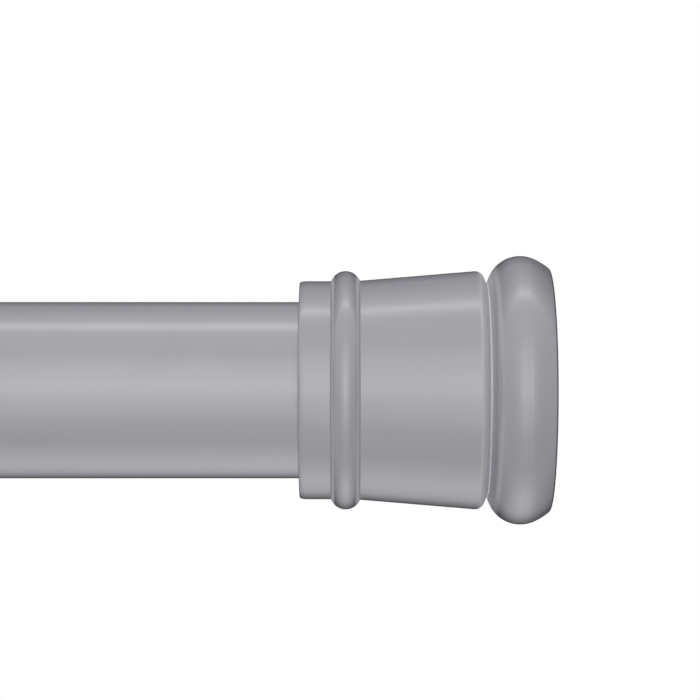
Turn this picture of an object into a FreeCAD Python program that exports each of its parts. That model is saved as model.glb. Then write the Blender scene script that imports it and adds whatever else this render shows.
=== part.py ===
import FreeCAD, Part
import math
import os
import re
import Sketcher
from FreeCAD import Placement, Rotation, Vector

# A shower curtain rod held between two walls by spring force, in millimetres.
#
# The rod lies along X. The origin is the middle of the pad that presses on the wall at the
# right, and the rod reaches from there towards -X. Z is up. Both ends wear the same turned
# looking cap. The larger tube belongs to the right end and the smaller one slides in it.
#
# Every piece is drawn along its own X axis and then placed. A station is a distance from the
# right wall: pieces whose X runs away from that wall are turned half way round about Z.

# The driving sizes: name, value in millimetres unless the note says otherwise, note.
SIZES = [
    ("closed_length", 1092.0, "wall to wall with the tubes pushed together, 43 inches"),
    ("spring_stroke", 30.0, "how far the spring lets the rod be squeezed"),
    ("stroke_reserve", 4.0, "room that is left at the full spring stroke"),
    ("outer_tube_dia", 25.4, "larger tube, 1 inch"),
    ("outer_tube_wall", 0.8, "wall of the larger tube"),
    ("tube_gap", 0.8, "gap between the tubes all round, which makes the smaller one 7/8 inch"),
    ("inner_tube_wall", 0.8, "wall of the smaller tube"),
    ("slip", 0.05, "radial clearance of a piece pushed into or over a tube"),
    ("running", 0.1, "radial clearance of a piece that slides or turns"),
    ("lead_in", 0.8, "chamfer that helps a moulded piece into its tube"),
    ("edge_break", 0.3, "small chamfers on moulded edges"),
    ("corner_turn", 0.3, "how far inside its flats a hexagon's ends are turned to a cone"),
    ("cap_length", 35.9, "end cap, rim to collar"),
    ("crest_dia", 38.65, "end cap over the crest of its bulge"),
    ("crest_place", 4.25, "crest from the rim"),
    ("crest_arc", 4.75, "radius of the bulge over its crest"),
    ("rim_arc", 9.0, "flatter radius of the bulge beside the rim"),
    ("rim_turn", 23.0, "where the one gives way to the other, in degrees from the crest"),
    ("rim_edge", 0.5, "rounding of the rim's outer edge"),
    ("flank_turn", 71.0, "steepness of the bulge's flank in the groove, in degrees"),
    ("groove_dia", 31.0, "end cap at the bottom of its groove"),
    ("groove_round", 0.15, "rounding of the groove's bottom"),
    ("shoulder_turn", 68.0, "steepness of the groove's other side, in degrees"),
    ("shoulder_arc", 1.36, "radius of the shoulder between groove and taper"),
    ("shoulder_dia", 34.3, "end cap over the shoulder, where the taper starts"),
    ("taper_small_dia", 31.55, "taper at the bead"),
    ("bead_width", 4.16, "bead along the cap"),
    ("bead_rise", 1.42, "height of the bead over its two edges"),
    ("collar_length", 4.5, "collar beside the bead"),
    ("collar_dia", 31.4, "collar at the tube"),
    ("collar_edge", 0.75, "rounding of the collar's outer edge"),
    ("web_place", 4.5, "cross wall of the cap from the rim, which is also the pocket's depth"),
    ("web_thickness", 3.0, "cross wall of the cap"),
    ("screw_play", 0.25, "radial clearance of the cap screw in the cross wall and its washer"),
    ("pocket_dia", 29.0, "pocket for the wall pad"),
    ("pad_proud", 0.25, "how far the wall pad stands out of the rim"),
    ("pad_edge", 0.5, "rounding of the pad's front edge"),
    ("head_room", 0.45, "room over the screw head in the hollow of the pad's back"),
    ("hollow_gap", 0.5, "room round the washer in that hollow"),
    ("grip_groove_width", 1.2, "grooves in the face of the pad"),
    ("grip_groove_depth", 0.5, "their depth"),
    ("grip_first_dia", 17.0, "inner side of the first groove"),
    ("grip_second_dia", 23.0, "inner side of the second groove"),
    ("plug_flange", 1.5, "flange of the tube plug, between tube end and cross wall"),
    ("plug_length", 19.5, "tube plug with its flange"),
    ("plug_wall", 1.6, "sleeve of the tube plug"),
    ("plug_floor", 1.5, "floor of the tube plug behind the flange"),
    ("plug_boss_dia", 9.0, "screw boss of the tube plug"),
    ("plug_rib", 1.4, "ribs between boss and sleeve"),
    ("plug_rib_count", 4, "number of those ribs"),
    ("cap_screw_dia", 4.0, "cap screw over its thread"),
    ("cap_screw_length", 17.0, "cap screw under its head"),
    ("cap_screw_point", 3.0, "its point"),
    ("cap_screw_tip_dia", 1.4, "the blunt end of that point"),
    ("cap_screw_head_dia", 8.0, "its pan head"),
    ("cap_screw_head", 2.4, "height of that head"),
    ("cross_width", 1.1, "arms of the driver recess"),
    ("cross_share", 4.4, "driver recess from arm to arm"),
    ("cross_depth", 1.4, "depth of the driver recess"),
    ("cap_washer_dia", 10.4, "washer under the cap screw"),
    ("cap_washer_thickness", 0.9, "its thickness"),
    ("trim_flange", 5.0, "trim ring outside the larger tube"),
    ("trim_proud", 1.1, "how far that flange stands out over the tube"),
    ("trim_round", 1.6, "rounding of the trim ring"),
    ("trim_sleeve", 15.0, "trim ring inside the larger tube"),
    ("stud_dia", 8.0, "threaded stud of the plunger rod"),
    ("stud_chamfer", 0.5, "chamfer at its end"),
    ("stud_gap", 0.75, "stud end to tube plug with the rod closed"),
    ("stud_tip", 1.5, "stud beyond the stop nut"),
    ("stop_nut_flats", 13.0, "stop nut across its flats"),
    ("stop_nut_height", 4.0, "stop nut"),
    ("cone_stroke", 2.5, "travel of the cone in two turns of a 1.25 mm thread"),
    ("cone_gap", 0.3, "cone to stop nut at the end of that travel"),
    ("cone_length", 16.0, "cone"),
    ("cone_drop", 4.0, "how far the cone's side falls from front to back"),
    ("cone_stand", 2.5, "cone in front of the sleeve when it is drawn in"),
    ("key_width", 1.6, "keys of the cone that run in the sleeve's slots"),
    ("key_gap", 0.7, "keys inside the larger tube's bore"),
    ("key_length", 13.0, "keys along the cone"),
    ("sleeve_gap", 0.35, "gap between clamping sleeve and larger tube, behind the ridges"),
    ("sleeve_length", 36.0, "clamping sleeve"),
    ("sleeve_hub", 9.0, "solid back of the sleeve"),
    ("sleeve_wall", 1.6, "fingers of the sleeve at the mouth and behind the taper"),
    ("taper_back", 3.0, "slope behind the taper, where the fingers get thin enough to bend"),
    ("finger_count", 4, "number of fingers, slots and keys"),
    ("slot_width", 2.0, "slots between the fingers"),
    ("slot_length", 25.0, "slots from the sleeve's mouth"),
    ("ridge_width", 1.4, "grip ridges on the fingers"),
    ("ridge_place", 3.0, "first ridge from the mouth"),
    ("ridge_pitch", 4.6, "ridge to ridge"),
    ("ridge_count", 4, "number of ridges"),
    ("ring_wire", 1.8, "section of the drag ring"),
    ("ring_place", 4.6, "drag ring from the back of the sleeve"),
    ("ring_groove_width", 2.2, "groove for the drag ring"),
    ("thrust_dia", 18.0, "thrust washer"),
    ("thrust_thickness", 1.2, "thrust washer"),
    ("rod_flats", 10.0, "six sided plunger rod across its flats"),
    ("head_pocket", 2.0, "plunger rod let into the plunger head"),
    ("head_thickness", 6.0, "plunger head"),
    ("head_side_gap", 0.2, "radial clearance of the plunger head in the smaller tube"),
    ("pilot_gap", 0.8, "gap between the spring and the pilots that centre it"),
    ("pilot_length", 3.0, "pilots"),
    ("plunger_screw_dia", 5.0, "screw that holds the plunger head"),
    ("plunger_screw_length", 16.0, "under its head"),
    ("plunger_screw_head_dia", 9.0, "its pan head"),
    ("plunger_screw_head", 2.8, "height of that head"),
    ("plunger_screw_point", 0.6, "its end chamfer"),
    ("plunger_screw_tip_dia", 3.8, "its end inside that chamfer"),
    ("head_recess_gap", 0.3, "gap round that screw's head"),
    ("tap_reserve", 0.3, "tapped hole beyond the screw's end"),
    ("bushing_flange", 3.0, "flange of the guide bushing"),
    ("bushing_length", 18.0, "guide bushing inside the smaller tube"),
    ("rivet_dia", 3.0, "rivets through the smaller tube"),
    ("rivet_head_dia", 5.0, "their heads"),
    ("rivet_head", 0.5, "height of the heads"),
    ("rivet_depth", 4.4, "rivets below the tube's surface"),
    ("spring_wire", 1.8, "wire of the spring"),
    ("spring_side_gap", 0.5, "gap between the spring and the smaller tube"),
    ("spring_length", 108.0, "spring as fitted"),
    ("spring_active", 7, "free turns of the spring"),
    ("spring_end_turns", 1, "closed turns at each end"),
    ("end_turn_gap", 0.18, "gap between a closed turn and the next"),
    ("spring_seat_gap", 0.15, "play at each end of the spring"),
    ("seat_length", 18.0, "spring seat"),
    ("seat_floor", 5.0, "solid front of the spring seat"),
    ("seat_wall", 4.8, "wall of the spring seat behind its floor"),
]

doc = FreeCAD.newDocument("shower_curtain_rod")
sheet = doc.addObject("Spreadsheet::Sheet", "Sizes")
for row, (alias, number, note) in enumerate(SIZES, start=1):
    sheet.set(f"A{row}", alias)
    sheet.set(f"B{row}", str(number))
    sheet.set(f"C{row}", note)
    sheet.setAlias(f"B{row}", alias)
doc.recompute()
NAMES = {alias for alias, number, note in SIZES}


def bound(words):
    """Turn a sum of size names into an expression that reads them from the sheet."""
    return re.sub(r"[a-z][a-z_]+", lambda m: "Sizes." + m[0] if m[0] in NAMES else m[0], words)


def number_of(words):
    """The present value of such a sum."""
    return float(sheet.evalExpression(bound(words)))


# Sums that several pieces share.
HALF_OUTER = "(outer_tube_dia / 2)"
OUTER_BORE = f"({HALF_OUTER} - outer_tube_wall)"
HALF_INNER = f"({OUTER_BORE} - tube_gap)"
INNER_BORE = f"({HALF_INNER} - inner_tube_wall)"
SPRING_RADIUS = f"({INNER_BORE} - spring_side_gap - spring_wire / 2)"
PILOT_RADIUS = f"({INNER_BORE} - spring_side_gap - spring_wire - pilot_gap)"
SLEEVE_RADIUS = f"({OUTER_BORE} - sleeve_gap)"
FINGER_BORE = f"({SLEEVE_RADIUS} - sleeve_wall)"
CONE_SLOPE = "(cone_drop / cone_length)"
CONE_FRONT = f"({FINGER_BORE} + cone_stand * {CONE_SLOPE} - running)"
CONE_BACK = f"({CONE_FRONT} - cone_drop)"

# Stations, from the right wall, in the order in which the pieces follow each other.
WEB_FACE = "(pad_proud + web_place)"
WASHER_FACE = f"({WEB_FACE} - cap_washer_thickness)"
SCREW_TOP = f"({WASHER_FACE} - cap_screw_head)"
PLUG_FACE = f"({WEB_FACE} + web_thickness)"
TUBE_END = f"({PLUG_FACE} + plug_flange)"
STUD_END = f"({PLUG_FACE} + plug_length + stud_gap)"
STOP_NUT_FACE = f"({STUD_END} + stud_tip)"
CONE_FACE = f"({STOP_NUT_FACE} + stop_nut_height + cone_gap + cone_stroke)"
SLEEVE_FACE = f"({CONE_FACE} + cone_stand)"
THRUST_FACE = f"({SLEEVE_FACE} + sleeve_length)"
ROD_SHOULDER = f"({THRUST_FACE} + thrust_thickness + running)"
BUSHING_FACE = f"({ROD_SHOULDER} + spring_stroke + stroke_reserve)"
INNER_START = f"({BUSHING_FACE} + bushing_flange)"
HEAD_FACE = f"({INNER_START} + bushing_length + running)"
SPRING_FACE = f"({HEAD_FACE} + head_thickness)"
SEAT_FACE = f"({SPRING_FACE} + spring_length)"
FAR_TUBE_END = f"(closed_length - {TUBE_END})"
FAR_COLLAR = "(closed_length - pad_proud - cap_length)"
TRIM_FACE = f"({FAR_COLLAR} - spring_stroke - stroke_reserve)"
OUTER_STOP = f"({TRIM_FACE} - trim_flange)"


def level_arc(run, rise):
    """Radius of the arc that starts level and covers this run and rise."""
    return f"((({run}) ^ 2 + ({rise}) ^ 2) / (2 * ({rise})))"


def origin_plane(body, role):
    """One of the body's own three planes."""
    return next(f for f in body.Origin.OriginFeatures if f.Role == role)


def new_body(label):
    body = doc.addObject("PartDesign::Body", label)
    body.Label = label
    return body


def place(thing, station, away_from_wall=True):
    """Put a piece's own origin at a station; X runs away from the right wall, or towards it."""
    turn = Rotation(Vector(0, 0, 1), 180) if away_from_wall else Rotation()
    thing.Placement = Placement(Vector(0, 0, 0), turn)
    thing.setExpression(".Placement.Base.x", f"-({bound(station)})")


def new_sketch(body, name, role, offset=None):
    """A sketch on one of the body's planes, moved along its normal by offset."""
    sketch = body.newObject("Sketcher::SketchObject", name)
    sketch.AttachmentSupport = [(origin_plane(body, role), "")]
    sketch.MapMode = "FlatFace"
    if offset is not None:
        sketch.setExpression(".AttachmentOffset.Base.z", bound(offset))
    doc.recompute()
    return sketch


def fix(sketch, geometry, point, words, kind):
    """Hold one coordinate of a point at a sum of sizes, or on the axis where that is zero."""
    if words == "0":
        axis = -2 if kind == "DistanceX" else -1
        sketch.addConstraint(Sketcher.Constraint("PointOnObject", geometry, point, axis))
        return
    value = number_of(words)
    index = sketch.addConstraint(Sketcher.Constraint(kind, -1, 1, geometry, point, value))
    sketch.setExpression(f"Constraints[{index}]", bound(words))


def add_side(sketch, start, end, radius):
    """Draw a side from start to end. A positive radius bends it to the left of its way."""
    if radius is None:
        return sketch.addGeometry(Part.LineSegment(start, end), False), 1, 2
    size = number_of(radius.lstrip("-"))
    left = Vector(start.y - end.y, end.x - start.x, 0).normalize()
    side = -1 if radius.startswith("-") else 1
    drop = math.sqrt(max(size**2 - (start.distanceToPoint(end) / 2) ** 2, 0))
    centre = (start + end) / 2 - left * drop * side
    angles = [math.atan2(p.y - centre.y, p.x - centre.x) for p in (start, end)]
    circle = Part.Circle(centre, Vector(0, 0, 1), size)
    if side > 0:
        return sketch.addGeometry(Part.ArcOfCircle(circle, angles[1], angles[0]), False), 2, 1
    return sketch.addGeometry(Part.ArcOfCircle(circle, angles[0], angles[1]), False), 1, 2


def outline(sketch, corners):
    """A closed outline. A corner is (along, out) or (along, out, radius of the next side)."""
    corners = [corner if len(corner) == 3 else (*corner, None) for corner in corners]
    spots = [Vector(number_of(along), number_of(out), 0) for along, out, radius in corners]
    sides = []
    for here, corner in enumerate(corners):
        there = (here + 1) % len(corners)
        sides.append(add_side(sketch, spots[here], spots[there], corner[2]))
    for here, (geometry, first, last) in enumerate(sides):
        next_geometry, next_first, next_last = sides[(here + 1) % len(sides)]
        joint = Sketcher.Constraint("Coincident", geometry, last, next_geometry, next_first)
        sketch.addConstraint(joint)
    for (geometry, first, last), (along, out, radius) in zip(sides, corners):
        fix(sketch, geometry, first, along, "DistanceX")
        fix(sketch, geometry, first, out, "DistanceY")
        if radius is not None:
            value = number_of(radius.lstrip("-"))
            index = sketch.addConstraint(Sketcher.Constraint("Radius", geometry, value))
            sketch.setExpression(f"Constraints[{index}]", bound(radius.lstrip("-")))
    doc.recompute()


def circle(sketch, radius, along="0", out="0"):
    """A circle in a sketch, at the sketch's origin unless a centre is given."""
    centre = Vector(number_of(along), number_of(out), 0)
    ring = Part.Circle(centre, Vector(0, 0, 1), number_of(radius))
    geometry = sketch.addGeometry(ring, False)
    fix(sketch, geometry, 3, along, "DistanceX")
    fix(sketch, geometry, 3, out, "DistanceY")
    index = sketch.addConstraint(Sketcher.Constraint("Radius", geometry, number_of(radius)))
    sketch.setExpression(f"Constraints[{index}]", bound(radius))


def hexagon(sketch, flats):
    """A six sided outline round the sketch's origin, given across its flats."""
    half = f"({flats}) / 2"
    corner = f"({flats}) / sqrt(3)"
    points = [(half, f"{corner} / 2"), ("0", corner), (f"-{half}", f"{corner} / 2")]
    points += [(f"-{half}", f"-{corner} / 2"), ("0", f"-{corner}"), (half, f"-{corner} / 2")]
    outline(sketch, points)


def rectangle(sketch, left, right, low, high):
    outline(sketch, [(left, low), (right, low), (right, high), (left, high)])


def turned(body, name, corners):
    """Turn an outline round the piece's own X axis."""
    sketch = new_sketch(body, name + "_outline", "XZ_Plane")
    outline(sketch, corners)
    turn = body.newObject("PartDesign::Revolution", name)
    turn.Profile = sketch
    turn.ReferenceAxis = (sketch, ["H_Axis"])
    turn.Angle = 360
    doc.recompute()
    return turn


def padded(body, name, sketch, length):
    pad = body.newObject("PartDesign::Pad", name)
    pad.Profile = sketch
    pad.setExpression("Length", bound(length))
    doc.recompute()
    return pad


def turned_away(body, name, corners):
    """Turn an outline round the piece's own X axis and take it off the body."""
    before = body.Shape.Volume
    sketch = new_sketch(body, name + "_outline", "XZ_Plane")
    outline(sketch, corners)
    groove = body.newObject("PartDesign::Groove", name)
    groove.Profile = sketch
    groove.ReferenceAxis = (sketch, ["H_Axis"])
    groove.Angle = 360
    doc.recompute()
    if body.Shape.Volume >= before:
        raise RuntimeError(name + " cuts nothing")
    return groove


def cut(body, name, sketch, length, both_ways=False):
    """Cut a sketch into the body along its normal, or half the length to each side of it."""
    before = body.Shape.Volume
    pocket = body.newObject("PartDesign::Pocket", name)
    pocket.Profile = sketch
    pocket.Midplane = both_ways
    pocket.Reversed = not both_ways
    pocket.setExpression("Length", bound(length))
    doc.recompute()
    if body.Shape.Volume >= before:
        raise RuntimeError(name + " cuts nothing")
    return pocket


def break_corners(body, name, flats, near, far):
    """Turn a hexagon's corners back to a 30 degree cone at its near and its far face."""
    low = f"({flats}) / 2 - corner_turn"
    high = f"({flats}) / sqrt(3) + corner_turn"
    run = f"({high} - ({low})) / sqrt(3)"
    for which, face, inward in (("_near", near, "+"), ("_far", far, "-")):
        corners = [(face, low), (face, high), (f"{face} {inward} {run}", high)]
        turned_away(body, name + which, corners)


def repeated_round(body, name, feature, count):
    """Repeat a feature round the X axis."""
    pattern = body.newObject("PartDesign::PolarPattern", name)
    pattern.Originals = [feature]
    pattern.Axis = (origin_plane(body, "X_Axis"), [""])
    pattern.Angle = 360
    pattern.setExpression("Occurrences", bound(count))
    body.Tip = pattern
    doc.recompute()
    return pattern


def ring_piece(label, station, inner, outer, length, away_from_wall=True):
    """A plain tube or washer from a pad of two circles."""
    body = new_body(label)
    sketch = new_sketch(body, label + "_ring", "YZ_Plane")
    circle(sketch, outer)
    circle(sketch, inner)
    padded(body, label + "_length", sketch, length)
    place(body, station, away_from_wall)
    return body


def bulge():
    """The end cap from its rim to the taper, in arcs and sides that touch without a kink."""
    crest_out = "(crest_dia / 2 - crest_arc)"
    rim_along = "(crest_place + (rim_arc - crest_arc) * sin(rim_turn))"
    rim_out = f"({crest_out} - (rim_arc - crest_arc) * cos(rim_turn))"
    edge_out = f"({rim_out} + sqrt((rim_arc - rim_edge) ^ 2 - ({rim_along} - rim_edge) ^ 2))"
    share = "rim_arc / (rim_arc - rim_edge)"
    floor_out = "(groove_dia / 2 + groove_round)"
    flank_reach = f"(crest_arc + groove_round - ({floor_out} - {crest_out}) * cos(flank_turn))"
    floor_along = f"(crest_place + {flank_reach} / sin(flank_turn))"
    top_out = "(shoulder_dia / 2 - shoulder_arc)"
    top_reach = f"(shoulder_arc + groove_round + ({top_out} - {floor_out}) * cos(shoulder_turn))"
    top_along = f"({floor_along} + {top_reach} / sin(shoulder_turn))"
    return [
        ("0", edge_out, "rim_edge"),
        (
            f"{rim_along} - ({rim_along} - rim_edge) * {share}",
            f"{rim_out} + ({edge_out} - {rim_out}) * {share}",
            "rim_arc",
        ),
        (
            "crest_place - crest_arc * sin(rim_turn)",
            f"{crest_out} + crest_arc * cos(rim_turn)",
            "crest_arc",
        ),
        (
            "crest_place + crest_arc * sin(flank_turn)",
            f"{crest_out} + crest_arc * cos(flank_turn)",
        ),
        (
            f"{floor_along} - groove_round * sin(flank_turn)",
            f"{floor_out} - groove_round * cos(flank_turn)",
            "-groove_round",
        ),
        (
            f"{floor_along} + groove_round * sin(shoulder_turn)",
            f"{floor_out} - groove_round * cos(shoulder_turn)",
        ),
        (
            f"{top_along} - shoulder_arc * sin(shoulder_turn)",
            f"{top_out} + shoulder_arc * cos(shoulder_turn)",
            "shoulder_arc",
        ),
        (top_along, "shoulder_dia / 2"),
    ]


def end_cap(label, station, away_from_wall, tube_radius):
    """The moulded end cap: bulge, groove, taper, bead and collar over a socket for the tube."""
    socket = f"({tube_radius} + slip)"
    screw_hole = "cap_screw_dia / 2 + screw_play"
    bead_far = "cap_length - collar_length"
    body = new_body(label)
    turned(body, label + "_turn", [
        *bulge(),
        (f"{bead_far} - bead_width", "taper_small_dia / 2", level_arc("bead_width / 2", "bead_rise")),
        (bead_far, "collar_dia / 2"),
        ("cap_length - collar_edge", "collar_dia / 2", "collar_edge"),
        ("cap_length", "collar_dia / 2 - collar_edge"),
        ("cap_length", f"{socket} + edge_break"),
        ("cap_length - edge_break", socket),
        ("web_place + web_thickness", socket),
        ("web_place + web_thickness", screw_hole),
        ("web_place", screw_hole),
        ("web_place", "pocket_dia / 2"),
        ("edge_break", "pocket_dia / 2"),
        ("0", "pocket_dia / 2 + edge_break"),
    ])
    place(body, station, away_from_wall)
    return body


def wall_pad(label, station, away_from_wall):
    """The rubber pad in the cap's pocket: two grip grooves in front, a hollow behind."""
    side = "pocket_dia / 2 - slip"
    hollow = "cap_washer_dia / 2 + hollow_gap"
    body = new_body(label)
    turned(body, label + "_turn", [
        ("0", "0"),
        ("0", "grip_first_dia / 2"),
        ("grip_groove_depth", "grip_first_dia / 2"),
        ("grip_groove_depth", "grip_first_dia / 2 + grip_groove_width"),
        ("0", "grip_first_dia / 2 + grip_groove_width"),
        ("0", "grip_second_dia / 2"),
        ("grip_groove_depth", "grip_second_dia / 2"),
        ("grip_groove_depth", "grip_second_dia / 2 + grip_groove_width"),
        ("0", "grip_second_dia / 2 + grip_groove_width"),
        ("0", f"{side} - pad_edge", "pad_edge"),
        ("pad_edge", side),
        (WEB_FACE, side),
        (WEB_FACE, hollow),
        (f"{SCREW_TOP} - head_room", hollow),
        (f"{SCREW_TOP} - head_room", "0"),
    ])
    place(body, station, away_from_wall)
    return body


def tube_plug(label, station, away_from_wall, tube_radius, tube_bore):
    """The moulded plug in a tube's end: flange, sleeve, screw boss and ribs between them."""
    sleeve = f"({tube_bore} - slip)"
    floor = "(plug_flange + plug_floor)"
    hole = "(cap_screw_dia / 2 + slip)"
    body = new_body(label)
    turned(body, label + "_turn", [
        ("0", hole),
        ("0", tube_radius),
        ("plug_flange", tube_radius),
        ("plug_flange", sleeve),
        ("plug_length - lead_in", sleeve),
        ("plug_length", f"{sleeve} - lead_in"),
        ("plug_length", f"{sleeve} - plug_wall"),
        (floor, f"{sleeve} - plug_wall"),
        (floor, "plug_boss_dia / 2"),
        ("plug_length", "plug_boss_dia / 2"),
        ("plug_length", hole),
    ])
    sketch = new_sketch(body, label + "_rib_outline", "YZ_Plane", floor)
    root = "(plug_boss_dia + cap_screw_dia) / 4"
    rectangle(sketch, root, f"{sleeve} - plug_wall / 2", "-plug_rib / 2", "plug_rib / 2")
    rib = padded(body, label + "_rib", sketch, f"plug_length - {floor}")
    repeated_round(body, label + "_ribs", rib, "plug_rib_count")
    place(body, station, away_from_wall)
    return body


def pan_screw(label, station, away_from_wall, kind):
    """A pan head screw with a cross recess, its X along the shank from the top of the head."""
    head, length, point = f"{kind}_head", f"{kind}_length", f"{kind}_point"
    shank, head_radius = f"{kind}_dia / 2", f"{kind}_head_dia / 2"
    body = new_body(label)
    turned(body, label + "_turn", [
        ("0", "0"),
        ("0", f"{head_radius} - {head} / 2", f"{head} / 2"),
        (f"{head} / 2", head_radius),
        (head, head_radius),
        (head, shank),
        (f"{head} + {length} - {point}", shank),
        (f"{head} + {length}", f"{kind}_tip_dia / 2"),
        (f"{head} + {length}", "0"),
    ])
    sketch = new_sketch(body, label + "_cross_outline", "YZ_Plane")
    arm, half = "cross_share / 2", "cross_width / 2"
    quarter = [(arm, half), (half, half), (half, arm)]
    corners = []
    for along, out in (("", ""), ("-", ""), ("-", "-"), ("", "-")):
        marked = [(along + x, out + y) for x, y in quarter]
        corners += marked if along == out else marked[::-1]
    outline(sketch, corners)
    cut(body, label + "_cross", sketch, "cross_depth")
    place(body, station, away_from_wall)
    return body


def dressed_end(suffix, wall, away_from_wall, tube_radius, tube_bore):
    """Cap, pad, tube plug, washer and screw of one end, measured from that end's wall."""
    def at(distance):
        return distance if away_from_wall else f"({wall} - {distance})"

    end_cap("end_cap" + suffix, at("pad_proud"), away_from_wall, tube_radius)
    wall_pad("wall_pad" + suffix, at("0"), away_from_wall)
    tube_plug("end_plug" + suffix, at(PLUG_FACE), away_from_wall, tube_radius, tube_bore)
    ring_piece("cap_washer" + suffix, at(WASHER_FACE), "cap_screw_dia / 2 + screw_play",
               "cap_washer_dia / 2", "cap_washer_thickness", away_from_wall)
    pan_screw("cap_screw" + suffix, at(SCREW_TOP), away_from_wall, "cap_screw")


# The right end, with the larger tube.
dressed_end("", "0", True, HALF_OUTER, OUTER_BORE)
ring_piece("outer_tube", TUBE_END, OUTER_BORE, HALF_OUTER, f"{OUTER_STOP} - {TUBE_END}")

# The left end, with the smaller tube.
dressed_end("_far", "closed_length", False, HALF_INNER, INNER_BORE)
inner_tube = ring_piece("inner_tube", INNER_START, INNER_BORE, HALF_INNER,
                        f"{FAR_TUBE_END} - {INNER_START}")

# The trim ring that hides the larger tube's cut end and guides the smaller tube.
trim = new_body("tube_trim_ring")
turned(trim, "trim_turn", [
    ("0", f"{HALF_INNER} + running"),
    ("trim_flange + trim_sleeve", f"{HALF_INNER} + running"),
    ("trim_flange + trim_sleeve", f"{OUTER_BORE} - slip - edge_break"),
    ("trim_flange + trim_sleeve - edge_break", f"{OUTER_BORE} - slip"),
    ("trim_flange", f"{OUTER_BORE} - slip"),
    ("trim_flange", f"{HALF_OUTER} + trim_proud"),
    ("trim_round", f"{HALF_OUTER} + trim_proud", "-trim_round"),
    ("0", f"{HALF_OUTER} + trim_proud - trim_round"),
])
place(trim, TRIM_FACE, False)

# The clamping sleeve: a split collet that the cone spreads against the larger tube's bore.
sleeve = new_body("lock_sleeve")
ridge_top = f"({OUTER_BORE} - running)"
taper_end = "(cone_length - cone_stand + cone_gap)"
groove_mid = "(sleeve_length - ring_place)"
ring_floor = f"({OUTER_BORE} - slip - ring_wire - slip)"
turned(sleeve, "sleeve_turn", [
    ("0", FINGER_BORE),
    (taper_end, f"{FINGER_BORE} - {taper_end} * {CONE_SLOPE}"),
    (f"{taper_end} + taper_back", FINGER_BORE),
    ("sleeve_length - sleeve_hub", FINGER_BORE),
    ("sleeve_length - sleeve_hub", "stud_dia / 2 + running"),
    ("sleeve_length", "stud_dia / 2 + running"),
    ("sleeve_length", f"{SLEEVE_RADIUS} - edge_break"),
    ("sleeve_length - edge_break", SLEEVE_RADIUS),
    (f"{groove_mid} + ring_groove_width / 2", SLEEVE_RADIUS),
    (f"{groove_mid} + ring_groove_width / 2", ring_floor),
    (f"{groove_mid} - ring_groove_width / 2", ring_floor),
    (f"{groove_mid} - ring_groove_width / 2", SLEEVE_RADIUS),
    ("lead_in", SLEEVE_RADIUS),
    ("0", f"{SLEEVE_RADIUS} - lead_in"),
])
ridge_sketch = new_sketch(sleeve, "ridge_outline", "XZ_Plane")
rectangle(ridge_sketch, "ridge_place", "ridge_place + ridge_width",
          f"{SLEEVE_RADIUS} - sleeve_wall / 2", ridge_top)
ridge = sleeve.newObject("PartDesign::Revolution", "ridge")
ridge.Profile = ridge_sketch
ridge.ReferenceAxis = (ridge_sketch, ["H_Axis"])
ridge.Angle = 360
doc.recompute()
ridges = sleeve.newObject("PartDesign::LinearPattern", "ridges")
ridges.Originals = [ridge]
ridges.Direction = (origin_plane(sleeve, "X_Axis"), [""])
ridges.setExpression("Length", bound("ridge_pitch * (ridge_count - 1)"))
ridges.setExpression("Occurrences", bound("ridge_count"))
sleeve.Tip = ridges
doc.recompute()
slot_sketch = new_sketch(sleeve, "slot_outline", "YZ_Plane")
rectangle(slot_sketch, "stud_dia / 2 + running", HALF_OUTER,
          "-slot_width / 2", "slot_width / 2")
slot = cut(sleeve, "slot", slot_sketch, "slot_length")
repeated_round(sleeve, "slots", slot, "finger_count")
place(sleeve, SLEEVE_FACE)

# The drag ring that keeps the sleeve from turning with the stud.
drag_ring = doc.addObject("Part::Torus", "drag_ring")
drag_ring.Label = "drag_ring"
drag_ring.setExpression("Radius2", bound("ring_wire / 2"))
drag_ring.setExpression("Radius1", bound(f"{OUTER_BORE} - slip - ring_wire / 2"))
drag_ring.Placement = Placement(Vector(0, 0, 0), Rotation(Vector(0, 1, 0), 90))
drag_ring.setExpression(".Placement.Base.x", f"-({bound(f'{THRUST_FACE} - ring_place')})")

ring_piece("thrust_washer", THRUST_FACE, "stud_dia / 2 + running", "thrust_dia / 2",
           "thrust_thickness")

# The cone that the thread draws into the sleeve; its keys keep it from turning there.
cone = new_body("cone_nut")
turned(cone, "cone_turn", [
    ("0", "stud_dia / 2 + slip"),
    ("0", f"{CONE_FRONT} - edge_break"),
    ("edge_break", f"{CONE_FRONT} - edge_break * {CONE_SLOPE}"),
    ("cone_length", CONE_BACK),
    ("cone_length", "stud_dia / 2 + slip"),
])
key_sketch = new_sketch(cone, "key_outline", "YZ_Plane")
key_root = f"({CONE_BACK} + stud_dia / 2) / 2"
rectangle(key_sketch, key_root, f"{OUTER_BORE} - key_gap", "-key_width / 2", "key_width / 2")
key = padded(cone, "key", key_sketch, "key_length")
repeated_round(cone, "keys", key, "finger_count")
place(cone, CONE_FACE)

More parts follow.
